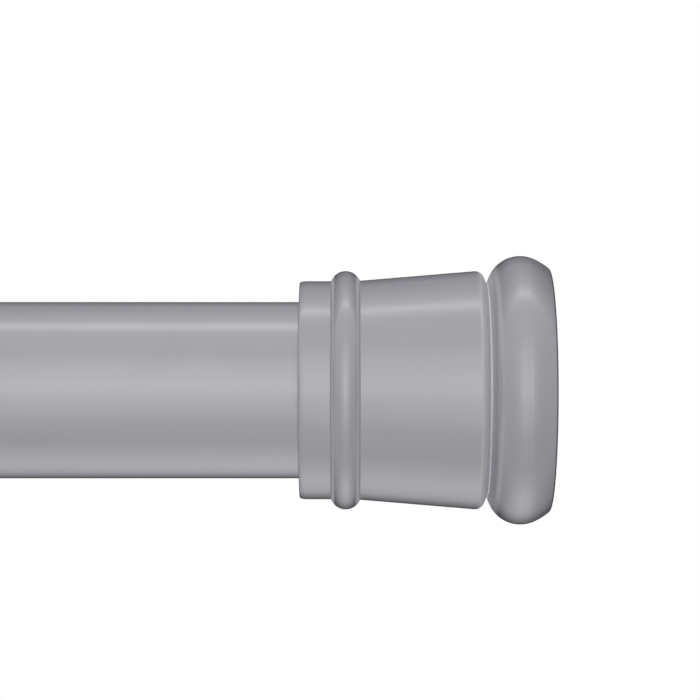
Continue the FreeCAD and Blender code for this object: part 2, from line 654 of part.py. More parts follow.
# The plunger rod: a threaded stud at the front, six sided behind, tapped at its back end.
rod = new_body("plunger_rod")
rod_length = f"({HEAD_FACE} + head_pocket - {ROD_SHOULDER})"
stud_length = f"({ROD_SHOULDER} - {STUD_END})"
rod_sketch = new_sketch(rod, "rod_flats_outline", "YZ_Plane", stud_length)
hexagon(rod_sketch, "rod_flats")
padded(rod, "rod_six_sides", rod_sketch, rod_length)
turned(rod, "stud_turn", [
    ("0", "0"),
    ("0", "stud_dia / 2 - stud_chamfer"),
    ("stud_chamfer", "stud_dia / 2"),
    (stud_length, "stud_dia / 2"),
    (stud_length, "0"),
])
tapped = "(plunger_screw_length - head_thickness + head_pocket + tap_reserve)"
tap_sketch = new_sketch(rod, "tap_outline", "YZ_Plane", f"{stud_length} + {rod_length} - {tapped}")
circle(tap_sketch, "plunger_screw_dia / 2 + slip")
cut(rod, "tapped_hole", tap_sketch, tapped)
break_corners(rod, "rod_corners", "rod_flats", stud_length, f"({stud_length} + {rod_length})")
place(rod, STUD_END)

nut = new_body("stop_nut")
nut_sketch = new_sketch(nut, "stop_nut_outline", "YZ_Plane")
hexagon(nut_sketch, "stop_nut_flats")
circle(nut_sketch, "stud_dia / 2 + slip")
padded(nut, "stop_nut_pad", nut_sketch, "stop_nut_height")
break_corners(nut, "nut_corners", "stop_nut_flats", "0", "stop_nut_height")
place(nut, STOP_NUT_FACE)

# The plunger head that the spring presses on, and its screw.
head = new_body("plunger_head")
turned(head, "head_turn", [
    ("0", "plunger_screw_dia / 2 + slip"),
    ("0", f"{INNER_BORE} - head_side_gap"),
    ("head_thickness", f"{INNER_BORE} - head_side_gap"),
    ("head_thickness", PILOT_RADIUS),
    ("head_thickness + pilot_length - lead_in", PILOT_RADIUS),
    ("head_thickness + pilot_length", f"{PILOT_RADIUS} - lead_in"),
    ("head_thickness + pilot_length", "plunger_screw_head_dia / 2 + head_recess_gap"),
    ("head_thickness", "plunger_screw_head_dia / 2 + head_recess_gap"),
    ("head_thickness", "plunger_screw_dia / 2 + slip"),
])
head_sketch = new_sketch(head, "head_pocket_outline", "YZ_Plane")
hexagon(head_sketch, "rod_flats + slip * 2")
cut(head, "head_pocket_cut", head_sketch, "head_pocket")
place(head, HEAD_FACE)
pan_screw("plunger_screw", f"({SPRING_FACE} + plunger_screw_head)", False, "plunger_screw")

# The guide bushing in the smaller tube's inner end; its six sided hole turns the rod.
bushing = new_body("inner_bushing")
turned(bushing, "bushing_turn", [
    ("0", "0"),
    ("0", f"{OUTER_BORE} - running - edge_break"),
    ("edge_break", f"{OUTER_BORE} - running"),
    ("bushing_flange", f"{OUTER_BORE} - running"),
    ("bushing_flange", f"{INNER_BORE} - slip"),
    ("bushing_flange + bushing_length - lead_in", f"{INNER_BORE} - slip"),
    ("bushing_flange + bushing_length", f"{INNER_BORE} - slip - lead_in"),
    ("bushing_flange + bushing_length", "0"),
])
bushing_sketch = new_sketch(bushing, "bushing_hole_outline", "YZ_Plane")
hexagon(bushing_sketch, "rod_flats + running * 2")
cut(bushing, "bushing_hole", bushing_sketch, "bushing_flange + bushing_length")
place(bushing, BUSHING_FACE)

# The spring seat further down the smaller tube.
seat = new_body("spring_seat")
turned(seat, "seat_turn", [
    ("-pilot_length", "0"),
    ("-pilot_length", f"{PILOT_RADIUS} - lead_in"),
    ("lead_in - pilot_length", PILOT_RADIUS),
    ("0", PILOT_RADIUS),
    ("0", f"{INNER_BORE} - slip"),
    ("seat_length - lead_in", f"{INNER_BORE} - slip"),
    ("seat_length", f"{INNER_BORE} - slip - lead_in"),
    ("seat_length", f"{INNER_BORE} - slip - seat_wall"),
    ("seat_floor", f"{INNER_BORE} - slip - seat_wall"),
    ("seat_floor", "0"),
])
place(seat, SEAT_FACE)


def rivet_holes(body, name, along):
    """A cross hole right through a piece, which holds a rivet at each of its two ends."""
    sketch = new_sketch(body, name + "_outline", "XZ_Plane")
    circle(sketch, "rivet_dia / 2 + slip", along)
    return cut(body, name, sketch, "outer_tube_dia", both_ways=True)


rivet_spot = "bushing_length / 2"
seat_spot = "(seat_floor + seat_length) / 2"
rivet_holes(inner_tube, "bushing_rivet_holes", rivet_spot)
rivet_holes(inner_tube, "seat_rivet_holes", f"{SEAT_FACE} - {INNER_START} + {seat_spot}")
rivet_holes(bushing, "bushing_cross_hole", f"bushing_flange + {rivet_spot}")
rivet_holes(seat, "seat_cross_hole", seat_spot)


def rivet_shank(label, top):
    """The part of a rivet that goes through the tube's wall, up to the height top."""
    shank = doc.addObject("Part::Cylinder", label + "_shank")
    shank.setExpression("Radius", bound("rivet_dia / 2"))
    shank.setExpression("Height", bound(f"{top} - {HALF_INNER} + rivet_depth"))
    shank.setExpression(".Placement.Base.z", bound(f"{HALF_INNER} - rivet_depth"))
    return shank


def headed_rivet(label):
    """A rivet whose head stands on the tube."""
    cap = doc.addObject("Part::Cone", label + "_cap")
    cap.setExpression("Radius1", bound("rivet_head_dia / 2"))
    cap.setExpression("Radius2", bound("rivet_head_dia / 2 - rivet_head"))
    cap.setExpression("Height", bound("rivet_head"))
    cap.setExpression(".Placement.Base.z", bound(HALF_INNER))
    rivet = doc.addObject("Part::Fuse", label + "_one")
    rivet.Base = rivet_shank(label, HALF_INNER)
    rivet.Tool = cap
    return rivet


def flush_rivet(label):
    """A rivet filed off just inside the tube's surface, all round its end."""
    return rivet_shank(label, f"sqrt({HALF_INNER} ^ 2 - (rivet_dia / 2) ^ 2) - slip")


def rivet_pair(label, rivet, station):
    """Two such rivets that face each other across the smaller tube, as one group."""
    other = doc.addObject("Part::Mirroring", label + "_other")
    other.Source = rivet
    other.Normal = Vector(0, 0, 1)
    pair = doc.addObject("Part::Compound", label)
    pair.Label = label
    pair.Links = [rivet, other]
    pair.Placement = Placement(Vector(0, 0, 0), Rotation(Vector(1, 0, 0), 90))
    pair.setExpression(".Placement.Base.x", f"-({bound(station)})")
    return pair


# The seat's rivets are flush, because they pass under the trim ring when the rod is full length.
rivet_pair("bushing_rivets", headed_rivet("bushing_rivets"), f"({INNER_START} + {rivet_spot})")
rivet_pair("seat_rivets", flush_rivet("seat_rivets"), f"({SEAT_FACE} + {seat_spot})")

# The compression spring: closed end turns and free turns, as straight runs round a helix.
RUNS_PER_TURN = 12


def spring_path():
    """Points of the wire's middle line; end turns lie close together, the rest share the way."""
    radius = number_of(SPRING_RADIUS)
    along = number_of("spring_seat_gap + spring_wire / 2")
    active, end = int(number_of("spring_active")), int(number_of("spring_end_turns"))
    close = number_of("spring_wire + end_turn_gap")
    free = (number_of("spring_length") - 2 * along - 2 * end * close) / active
    points = []
    for run in range((active + 2 * end) * RUNS_PER_TURN + 1):
        angle = 2 * math.pi * run / RUNS_PER_TURN
        points.append(Vector(along, radius * math.cos(angle), radius * math.sin(angle)))
        closed = not end <= run / RUNS_PER_TURN < active + end
        along += (close if closed else free) / RUNS_PER_TURN
    return points


def spring_solid():
    points = spring_path()
    section = Part.Circle(points[0], points[1] - points[0], number_of("spring_wire / 2"))
    sweep = Part.BRepOffsetAPI.MakePipeShell(Part.makePolygon(points))
    sweep.add(Part.Wire(section.toShape()))
    sweep.setTransitionMode(1)
    sweep.build()
    sweep.makeSolid()
    return sweep.shape()


spring = doc.addObject("Part::Feature", "tension_spring")
spring.Label = "tension_spring"
spring.Shape = spring_solid()
place(spring, SPRING_FACE)
doc.recompute()

PIECES = [o for o in doc.Objects if o.TypeId == "PartDesign::Body"]
PIECES += [drag_ring, spring, doc.getObject("bushing_rivets"), doc.getObject("seat_rivets")]
for thing in doc.Objects:
    if "Invalid" in thing.State or "Error" in thing.State:
        raise RuntimeError(thing.Name + " failed: " + str(thing.State))
for piece in PIECES:
    if piece.Shape.isNull() or not piece.Shape.isValid():
        raise RuntimeError(piece.Label + " has no valid shape")

os.makedirs("parts", exist_ok=True)
for piece in PIECES:
    piece.Shape.exportStep("parts/" + piece.Label + ".step")
    box = piece.Shape.BoundBox
    print(f"{piece.Label:18s} solids {len(piece.Shape.Solids)}  volume {piece.Shape.Volume:10.1f}"
          f"  x {box.XMin:9.2f} to {box.XMax:8.2f}")
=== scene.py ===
# %% [markdown]
# This lesson dresses a shower curtain rod: two tubes that slide in each other and a turned
# looking cap at each end. The metal is plain and satin, so there is little for a pattern to
# do. What the eye reads is the outline of the cap, the softness of its edges and the way
# the studio slides over them. So most of the work goes into the shapes and the light. The
# finishes are mixed first, then the shapes are turned, and the light comes last, each in
# cells of its own.

import bmesh
import bpy
import numpy as np
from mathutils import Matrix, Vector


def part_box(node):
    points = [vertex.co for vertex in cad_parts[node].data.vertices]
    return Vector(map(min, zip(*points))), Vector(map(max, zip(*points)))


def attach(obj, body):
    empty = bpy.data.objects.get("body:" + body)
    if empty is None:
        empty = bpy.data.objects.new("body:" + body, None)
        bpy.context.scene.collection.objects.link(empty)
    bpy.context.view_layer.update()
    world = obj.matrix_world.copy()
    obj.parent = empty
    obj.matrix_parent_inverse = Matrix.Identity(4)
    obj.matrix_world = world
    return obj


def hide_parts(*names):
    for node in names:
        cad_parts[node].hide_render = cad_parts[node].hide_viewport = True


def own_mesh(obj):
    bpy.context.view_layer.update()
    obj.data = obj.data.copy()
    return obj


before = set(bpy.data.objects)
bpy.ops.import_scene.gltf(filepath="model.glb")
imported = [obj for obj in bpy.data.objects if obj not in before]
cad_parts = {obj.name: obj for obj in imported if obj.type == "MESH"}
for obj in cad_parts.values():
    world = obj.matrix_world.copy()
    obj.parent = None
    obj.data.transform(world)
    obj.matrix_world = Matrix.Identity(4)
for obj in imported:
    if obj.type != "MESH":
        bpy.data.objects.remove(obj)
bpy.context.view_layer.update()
MM = 0.001

# %% [markdown]
# Everything below is turned round the X axis, which is the rod's own axis. The model that
# was loaded already holds every true size, so the places are read from it: where a tube
# starts and ends, how wide it is, where a cap's rim lies. Only what a box can't tell, such
# as the curve of a bead, is written down as a size of its own.

# %% places read from the frame
def span(node):
    """The node's ends along the rod and its outer radius, in millimetres."""
    low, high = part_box(node)
    return low[0] / MM, high[0] / MM, max(high[1], high[2]) / MM


def show_span(node):
    """Print where a node starts and ends and how wide it is."""
    start, end, radius = span(node)
    print(f"{node}: x {start:.2f} to {end:.2f}, radius {radius:.2f} mm")


for node in ("outer_tube", "inner_tube", "end_cap", "end_cap_far", "tube_trim_ring"):
    show_span(node)

# %% [markdown]
# Steel tube of this kind is rolled from strip 0.8 mm thick. A tube pushed into a moulding
# has a few hundredths of a millimetre of play, and a tube that slides has a tenth. All that
# is turned gets the same number of sides, enough that no outline looks like a polygon.

# %% sizes that fit the pieces together
TUBE_WALL = 0.8
PUSH_PLAY = 0.05
SLIDE_PLAY = 0.1
LARGE_RADIUS = span("outer_tube")[2]
SMALL_RADIUS = span("inner_tube")[2]
AROUND = 256

# %% [markdown]
# A colour is easiest to judge as the hex value that a paint or a screen shows. The shader
# wants linear light, so one function does the change: below 0.04045 the value is divided by
# 12.92, above it 0.055 is added, the sum is divided by 1.055 and raised to 2.4.

# %% colour from a hex value
def linear(hex_value):
    """The linear colour, with alpha, of a hex value such as A9A8AD."""
    channels = np.array([int(hex_value[i:i + 2], 16) for i in (0, 2, 4)]) / 255
    light = np.where(channels <= 0.04045, channels / 12.92, ((channels + 0.055) / 1.055) ** 2.4)
    return (*light.tolist(), 1.0)


# %% [markdown]
# Materials are small graphs. One helper adds a node, sets its own settings, puts the stops
# on its ramp if it has one, and fills or links its inputs. So each material below reads as a
# list of steps.

# %% one function that adds a node
def add_node(tree, kind, settings=None, stops=(), **inputs):
    """Add a node. Settings are its properties, stops are the places and colours of its ramp,
    and inputs are values or sockets, by the input's name or by _ and its number."""
    node = tree.nodes.new(kind)
    for name, value in (settings or {}).items():
        setattr(node, name, value)
    if stops:
        points = node.color_ramp.elements
        points.remove(points[1])
        points[0].position, points[0].color = stops[0]
        for place, colour in stops[1:]:
            points.new(place).color = colour
    for name, value in inputs.items():
        key = int(name[1:]) if name[1:].isdigit() else name.replace("_", " ")
        if isinstance(value, bpy.types.NodeSocket):
            tree.links.new(value, node.inputs[key])
        else:
            node.inputs[key].default_value = value
    return node


def new_material(name):
    """An empty material with its shader, as (material, tree, shader)."""
    material = bpy.data.materials.new(name)
    material.use_nodes = True
    tree = material.node_tree
    shader = next(node for node in tree.nodes if node.type == "BSDF_PRINCIPLED")
    return material, tree, shader


# %% [markdown]
# Turned, rolled and moulded pieces all carry marks that run round the axis or along it. So
# the patterns need coordinates that know the axis: how far along the rod a point is, how far
# round it, and how far out. They come from the object's own coordinates, so they stay with
# the piece when it moves. The place where a full turn starts again is put at the back.

# %% coordinates that follow the rod's axis
def rod_coordinates(tree):
    """The point (x, atan2(z, -y), root of y squared plus z squared), lengths in millimetres."""
    place = add_node(tree, "ShaderNodeTexCoord").outputs["Object"]
    scaled = add_node(tree, "ShaderNodeVectorMath", {"operation": "MULTIPLY"}, _0=place,
                      _1=(1 / MM, -1 / MM, 1 / MM))
    x, y, z = add_node(tree, "ShaderNodeSeparateXYZ", _0=scaled.outputs[0]).outputs
    turn = add_node(tree, "ShaderNodeMath", {"operation": "ARCTAN2"}, _0=z, _1=y)
    flat = add_node(tree, "ShaderNodeCombineXYZ", Y=y, Z=z)
    out = add_node(tree, "ShaderNodeVectorMath", {"operation": "LENGTH"}, _0=flat.outputs[0])
    joined = add_node(tree, "ShaderNodeCombineXYZ", X=x, Y=turn.outputs[0], Z=out.outputs["Value"])
    return joined.outputs[0]


# %% [markdown]
# Almost every surface here is told by two such patterns. A coarse one drifts the colour
# between two close tones, and a fine one, which is the marks that the tool or the mould
# left, changes how dull the surface is and lies in it as relief.

# %% grain, and a finish made of two grains
NOISE_LOW, NOISE_HIGH = 0.3, 0.7
NOISE_ROUGHNESS = 0.55


def grain(tree, place, size_mm, radius_mm=10.0, detail=3.0):
    """Noise whose grains have the sizes size_mm along the rod, round it and out from it. The
    turn counts as an arc of radius_mm."""
    along, arc, out = size_mm
    rate = (1 / along, radius_mm / arc, 1 / out)
    where = add_node(tree, "ShaderNodeVectorMath", {"operation": "MULTIPLY"}, _0=place, _1=rate)
    noise = add_node(tree, "ShaderNodeTexNoise", Vector=where.outputs[0], Scale=1.0, Detail=detail,
                     Roughness=NOISE_ROUGHNESS)
    return noise.outputs["Fac"]


def surface(tree, shader, clouds, tones, marks, dullness, depth_mm, strength=0.3):
    """Clouds mix the two hex tones, and marks spread the roughness over dullness and sink into
    the surface by depth_mm. Noise mostly lies between NOISE_LOW and NOISE_HIGH, so that span
    counts as the full one. The colour and the roughness are given back for a material that
    adds to them."""
    share = add_node(tree, "ShaderNodeMapRange", _0=clouds, _1=NOISE_LOW, _2=NOISE_HIGH)
    colour = add_node(tree, "ShaderNodeMix", {"data_type": "RGBA"}, _0=share.outputs[0],
                      _6=linear(tones[0]), _7=linear(tones[1]))
    dull = add_node(tree, "ShaderNodeMapRange", _0=marks, _1=NOISE_LOW, _2=NOISE_HIGH,
                    _3=dullness[0], _4=dullness[1])
    bump = add_node(tree, "ShaderNodeBump", Strength=strength, Distance=depth_mm * MM, Height=marks)
    tree.links.new(colour.outputs[2], shader.inputs["Base Color"])
    tree.links.new(dull.outputs[0], shader.inputs["Roughness"])
    tree.links.new(bump.outputs["Normal"], shader.inputs["Normal"])
    return colour.outputs[2], dull.outputs[0]


# %% [markdown]
# Satin nickel is a thin bright plating over a surface that was first rubbed dull. On the
# tube the rubbing runs along it, in scratches a few hundredths of a millimetre wide. That is
# finer than a pixel here, so the grain is drawn 0.12 mm wide and very shallow. What the eye
# gets is a soft edge to each reflection and a grey with a hint of violet. Plated metal gives
# back less light just before the glancing angle, and the specular tint sets by how much: it
# draws the thin dark line that runs along every outline in the photograph.

# %% satin nickel, drawn tube
NICKEL_EDGE = linear("959595")
NICKEL_FINISH = {"dullness": (0.19, 0.21), "depth_mm": 0.0006, "strength": 0.1}
SCRATCH_WIDTH = 0.12


def satin_nickel_tube():
    """Scratches run along the tube, and its colour drifts over a centimetre or two."""
    material, tree, shader = new_material("satin_nickel_plate_on_steel_tube")
    place = rod_coordinates(tree)
    scratches = grain(tree, place, (9.0, SCRATCH_WIDTH, 5.0), LARGE_RADIUS, detail=2.0)
    clouds = grain(tree, place, (26.0, 14.0, 20.0), LARGE_RADIUS, detail=2.0)
    surface(tree, shader, clouds, ("ABAAAF", "AEADB2"), scratches, **NICKEL_FINISH)
    shader.inputs["Metallic"].default_value = 1.0
    shader.inputs["Specular Tint"].default_value = NICKEL_EDGE
    return material


# %% [markdown]
# The caps are mouldings with the same plating, rubbed while they turned, so their grain runs
# round them. In the groove and at the feet of the bead metal stands opposite metal, and
# there light is painted in: the plating's colour is made paler there, and it is matt and
# less metallic. In the groove's floor and on the bulge's side the painted light is bright,
# and on the shoulder's side and at the bead's feet it is milky. So these narrow places don't
# go black. The edge of the rim gets painted shade instead: a thin band of dark colour that
# draws a dark line along its outline. A mask painted by hand would have to be an image, so
# the places are told by ramps along the cap, which fit because everything on it runs round.

# %% where light is painted into a cap's creases, and shade onto its rim
# The first two tones are painted light for the creases, and the third is painted shade for the rim's edge.
CREASE_LIGHT_BRIGHT, CREASE_LIGHT_MILKY, PAINTED_RIM_SHADE_TONE = "F0EFF3", "B8B7BB", "5B5A5F"
# How dull the plating is where light is painted into the creases.
PAINTED_CREASE_LIGHT_DULLNESS = 0.6
CAP_LENGTH, RIM_LENGTH = 36.0, 1.0
# from the rim in mm, share of the painted crease light, its tone, how metallic it looks
PAINTED_CREASE_LIGHT = (
    (0.0, 0.0, CREASE_LIGHT_BRIGHT, 1.0),
    (7.4, 0.0, CREASE_LIGHT_BRIGHT, 1.0),
    (7.75, 0.3, CREASE_LIGHT_BRIGHT, 1.0),
    (8.05, 0.5, CREASE_LIGHT_BRIGHT, 1.0),
    (8.35, 0.55, CREASE_LIGHT_BRIGHT, 1.0),
    (8.7, 0.95, CREASE_LIGHT_BRIGHT, 1.0),
    (9.2, 0.9, CREASE_LIGHT_BRIGHT, 1.0),
    (9.32, 0.9, "D8D7DB", 0.4),
    (9.6, 0.8, "CBCACE", 0.4),
    (10.1, 0.5, "CBCACE", 0.6),
    (10.3, 0.25, CREASE_LIGHT_BRIGHT, 0.9),
    (10.7, 0.0, CREASE_LIGHT_BRIGHT, 1.0),
    (27.24, 0.0, CREASE_LIGHT_MILKY, 1.0),
    (27.32, 0.85, CREASE_LIGHT_MILKY, 0.2),
    (27.6, 0.85, CREASE_LIGHT_MILKY, 0.2),
    (27.95, 0.0, CREASE_LIGHT_MILKY, 1.0),
    (30.8, 0.0, CREASE_LIGHT_MILKY, 1.0),
    (31.1, 0.8, CREASE_LIGHT_MILKY, 0.2),
    (31.33, 0.8, CREASE_LIGHT_MILKY, 0.2),
    (31.4, 0.0, CREASE_LIGHT_MILKY, 1.0),
)
# from the rim in mm, share of the painted shade on the rim's edge
PAINTED_RIM_SHADE_RAMP = ((0.0, 0.0), (0.02, 0.0), (0.04, 1.0), (0.15, 1.0), (0.28, 0.0))


# %% [markdown]
# The distance from a rim is worked out in the material. Both caps share it, so it starts
# from the rod's middle: half of the way from rim to rim less the way from that middle is the
# distance from the nearer rim, on either cap.

# %% satin nickel, moulded cap
def satin_nickel_cap():
    """Ramps over the distance from the nearer rim, as a share of a length, mix painted light into
    the creases and then painted shade onto the rim's edge over the rubbed plating. The share
    of the painted crease light is the alpha of its tone's stop."""
    material, tree, shader = new_material("satin_nickel_plate_on_moulding")
    place = rod_coordinates(tree)
    scratches = grain(tree, place, (SCRATCH_WIDTH, 14.0, SCRATCH_WIDTH), LARGE_RADIUS, detail=2.0)
    clouds = grain(tree, place, (12.0, 12.0, 12.0), LARGE_RADIUS, detail=2.0)
    rubbed, dull = surface(tree, shader, clouds, ("A9A8AD", "ABAAAF"), scratches, **NICKEL_FINISH)
    first_rim, last_rim = span("end_cap")[1], span("end_cap_far")[0]
    middle, half = (first_rim + last_rim) / 2, (first_rim - last_rim) / 2
    along = add_node(tree, "ShaderNodeSeparateXYZ", _0=place).outputs["X"]
    offset = add_node(tree, "ShaderNodeMath", {"operation": "SUBTRACT"}, _0=along, _1=middle)
    away = add_node(tree, "ShaderNodeMath", {"operation": "ABSOLUTE"}, _0=offset.outputs[0])
    share = add_node(tree, "ShaderNodeMapRange", _0=away.outputs[0], _1=half, _2=half - CAP_LENGTH)
    tones, metals = [], []
    for from_rim, part, tone, metal in PAINTED_CREASE_LIGHT:
        tones.append((from_rim / CAP_LENGTH, (*linear(tone)[:3], part)))
        metals.append((from_rim / CAP_LENGTH, (metal, metal, metal, 1)))
    # Painted light in the creases: a paler tone with its share, and how metallic the plating is there.
    crease_light_tone, crease_light_share = add_node(tree, "ShaderNodeValToRGB", stops=tones, Fac=share.outputs[0]).outputs
    metallic = add_node(tree, "ShaderNodeValToRGB", stops=metals, Fac=share.outputs[0])
    # Painted shade: a dark band of colour along the rim's edge, which draws a dark line on its outline.
    near = add_node(tree, "ShaderNodeMapRange", _0=away.outputs[0], _1=half, _2=half - RIM_LENGTH)
    rim_shade_stops = [(from_rim / RIM_LENGTH, (part, part, part, 1)) for from_rim, part in PAINTED_RIM_SHADE_RAMP]
    rim_shade = add_node(tree, "ShaderNodeValToRGB", stops=rim_shade_stops, Fac=near.outputs[0])
    # The painted crease light goes over the rubbed plating, and the painted rim shade goes over both.
    plated = add_node(tree, "ShaderNodeMix", {"data_type": "RGBA"}, _0=crease_light_share, _6=rubbed, _7=crease_light_tone)
    colour = add_node(tree, "ShaderNodeMix", {"data_type": "RGBA"}, _0=rim_shade.outputs[0],
                      _6=plated.outputs[2], _7=linear(PAINTED_RIM_SHADE_TONE))
    matt = add_node(tree, "ShaderNodeMapRange", _0=crease_light_share, _3=dull, _4=PAINTED_CREASE_LIGHT_DULLNESS)
    tree.links.new(colour.outputs[2], shader.inputs["Base Color"])
    tree.links.new(matt.outputs[0], shader.inputs["Roughness"])
    tree.links.new(metallic.outputs[0], shader.inputs["Metallic"])
    shader.inputs["Specular Tint"].default_value = NICKEL_EDGE
    return material


# %% [markdown]
# The pads that press on the wall are soft grey rubber, moulded against a spark-eroded steel
# face. That leaves a fine even grain of about a quarter of a millimetre and no gloss. Cells
# would look like leather, so it is noise at that size. The ring on the lock is a harder
# black rubber with a finer grain.

# %% rubber
def moulded_rubber(name, tones, grain_mm=0.25):
    """Pits of one size in every direction, under dust that drifts over 6 mm."""
    material, tree, shader = new_material(name)
    place = rod_coordinates(tree)
    pits = grain(tree, place, (grain_mm, grain_mm, grain_mm), detail=4.0)
    dust = grain(tree, place, (6.0, 6.0, 6.0))
    surface(tree, shader, dust, tones, pits, dullness=(0.72, 0.86), depth_mm=0.03, strength=0.35)
    shader.inputs["IOR"].default_value = 1.52
    return material


# %% [markdown]
# Inside are plain engineering plastics. Nylon and acetal come from the mould with a faint
# orange peel under a low gloss, and their colour drifts a little along the flow of the melt.
# The same recipe serves them all, with other colours.

# %% moulded plastic
def moulded_plastic(name, tones, dull=0.42):
    """Orange peel spreads the roughness a little to both sides of dull."""
    material, tree, shader = new_material(name)
    place = rod_coordinates(tree)
    peel = grain(tree, place, (0.9, 0.9, 0.9))
    flow = grain(tree, place, (9.0, 3.0, 6.0))
    surface(tree, shader, flow, tones, peel, dullness=(dull - 0.05, dull + 0.08), depth_mm=0.01)
    shader.inputs["IOR"].default_value = 1.53
    return material


# %% [markdown]
# Screws, nut, washers and the plunger rod are cut or rolled steel with a bright zinc coat.
# Zinc is a little bluer and more uneven than nickel. The stud is threaded. A thread could be
# cut as geometry, but this one is fine and lies inside the lock, so it is drawn as relief: a
# wave that climbs one pitch in each turn.

# %% bright zinc on steel
THREAD_DEPTH = 0.6


def bright_zinc(name, thread_pitch_mm=None):
    """With a pitch, along / pitch + turn / full turn runs up by one in each pitch. Folded to
    and fro between 0 and 0.5 it is the thread's relief, in units of THREAD_DEPTH pitches."""
    material, tree, shader = new_material(name)
    place = rod_coordinates(tree)
    scratches = grain(tree, place, (0.15, 5.0, 0.15), 5.0, detail=2.0)
    bloom = grain(tree, place, (2.5, 2.5, 2.5), 5.0)
    surface(tree, shader, bloom, ("B9BCC0", "C4C7C9"), scratches, dullness=(0.24, 0.36), depth_mm=0.004)
    if thread_pitch_mm:
        split = add_node(tree, "ShaderNodeSeparateXYZ", _0=place).outputs
        turns = add_node(tree, "ShaderNodeMath", {"operation": "MULTIPLY"}, _0=split["Y"],
                         _1=1 / (2 * np.pi))
        climb = add_node(tree, "ShaderNodeMath", {"operation": "MULTIPLY_ADD"},
                         _0=split["X"], _1=1 / thread_pitch_mm, _2=turns.outputs[0])
        wave = add_node(tree, "ShaderNodeMath", {"operation": "PINGPONG"}, _0=climb.outputs[0], _1=0.5)
        thread = add_node(tree, "ShaderNodeBump", Strength=0.5,
                          Distance=thread_pitch_mm * THREAD_DEPTH * MM, Height=wave.outputs[0])
        tree.links.new(thread.outputs["Normal"], shader.inputs["Normal"])
    shader.inputs["Metallic"].default_value = 1.0
    return material


# %% [markdown]
# The rivets are plain aluminium, pale and soft, with a dull set head. The spring is drawn
# wire, darkened by its heat treatment and wiped with oil. Its drawing marks run round the
# coil with the wire, so the same coordinates serve, stretched along the turn.

# %% aluminium and spring wire
def plain_aluminium():
    """One even grain serves the colour, the dullness and the relief."""
    material, tree, shader = new_material("plain_aluminium_rivet")
    place = rod_coordinates(tree)
    marks = grain(tree, place, (0.4, 0.4, 0.4))
    surface(tree, shader, marks, ("C6C7C8", "D2D3D3"), marks, dullness=(0.34, 0.48), depth_mm=0.01)
    shader.inputs["Metallic"].default_value = 1.0
    return material


def oiled_spring_wire():
    """Fine marks run round the coil, and the tint of the heat drifts slowly along it."""
    material, tree, shader = new_material("oil_tempered_spring_wire")
    place = rod_coordinates(tree)
    marks = grain(tree, place, (0.1, 8.0, 0.1), 9.0, detail=2.0)
    heat = grain(tree, place, (14.0, 20.0, 6.0), 9.0)
    surface(tree, shader, heat, ("5A5A5E", "6E6B68"), marks, dullness=(0.26, 0.4), depth_mm=0.004)
    shader.inputs["Metallic"].default_value = 1.0
    return material


# %% [markdown]
# Each finish is made once and shared by all the pieces that have it, as a workshop would
# plate or mould them in one batch.

# %% make the finishes
NICKEL_TUBE = satin_nickel_tube()
NICKEL_CAP = satin_nickel_cap()
GREY_RUBBER = moulded_rubber("soft_grey_rubber", ("A09FA0", "A9A8A9"))
BLACK_RUBBER = moulded_rubber("black_nitrile_rubber", ("2A2A2B", "313132"), grain_mm=0.15)
TRIM_GREY = moulded_plastic("grey_acetal_trim", ("A3A3A6", "A9A9AB"))
PLUG_BLACK = moulded_plastic("black_nylon_plug", ("2E2E30", "363638"))
LOCK_NATURAL = moulded_plastic("natural_nylon_lock", ("DDDBD3", "E6E4DC"), dull=0.38)
CONE_BLACK = moulded_plastic("black_nylon_cone", ("333335", "3B3B3D"), dull=0.36)
ZINC = bright_zinc("bright_zinc_on_steel")
ZINC_STUD = bright_zinc("bright_zinc_thread_1_25", thread_pitch_mm=1.25)
ALUMINIUM = plain_aluminium()
SPRING_WIRE = oiled_spring_wire()
print("finishes", len(bpy.data.materials))

# %% [markdown]
# Every visible piece of this rod is round, so a designer would draw its half section and turn
# it. An outline is drawn in the plane of the axis: x along the rod, r out from it. It is made
# of straight runs and arcs. A straight run gets a point close to each end, so that the
# shading of a flat doesn't lean towards the curve beside it.

# %% straight runs and arcs
MOST_HOLD = 0.3


def run(start, end, hold=0.2):
    """A straight run from start to end with one point a hold's length inside each end, or at
    MOST_HOLD of a short run."""
    start, end = np.array(start, float), np.array(end, float)
    length = np.linalg.norm(end - start)
    near = min(hold / length, MOST_HOLD)
    shares = np.array([0, near, 1 - near, 1])[:, None]
    return start + (end - start) * shares


def bend(start, end, radius, count=24):
    """The arc of this radius from start to end that bulges to the left of its way: its centre
    lies on the chord's middle line, the root of radius squared less half the chord squared
    to the right of it."""
    start, end = np.array(start, float), np.array(end, float)
    chord = end - start
    length = np.linalg.norm(chord)
    left = np.array([-chord[1], chord[0]]) / length
    centre = (start + end) / 2 - left * np.sqrt(max(radius**2 - length**2 / 4, 0))
    first = np.arctan2(*(start - centre)[::-1])
    last = np.arctan2(*(end - centre)[::-1])
    angle = first - np.linspace(0, (first - last) % (2 * np.pi), count)
    return centre + radius * np.stack([np.cos(angle), np.sin(angle)], axis=1)


# %% [markdown]
# No moulded or cut edge is truly sharp, and a sharp one looks drawn rather than made: it
# catches no light. So each corner between two stretches is eased. The outline leaves the
# first side a little before the corner and joins the next one as far after it, on the curve
# that a designer knows as a conic with the corner as its middle handle. A Bevel modifier
# would ease every edge alike, while here each corner has its own size.

# %% ease the corners of an outline
CLEAR_OF_EASING = 1.01


def conic(start, corner, end, count):
    """(1-t)^2 start + 2 t (1-t) corner + t^2 end, for count equal steps of t from 0 to 1."""
    t = np.linspace(0, 1, count)[:, None]
    return (1 - t)**2 * np.array(start) + 2 * t * (1 - t) * np.array(corner) + t**2 * np.array(end)


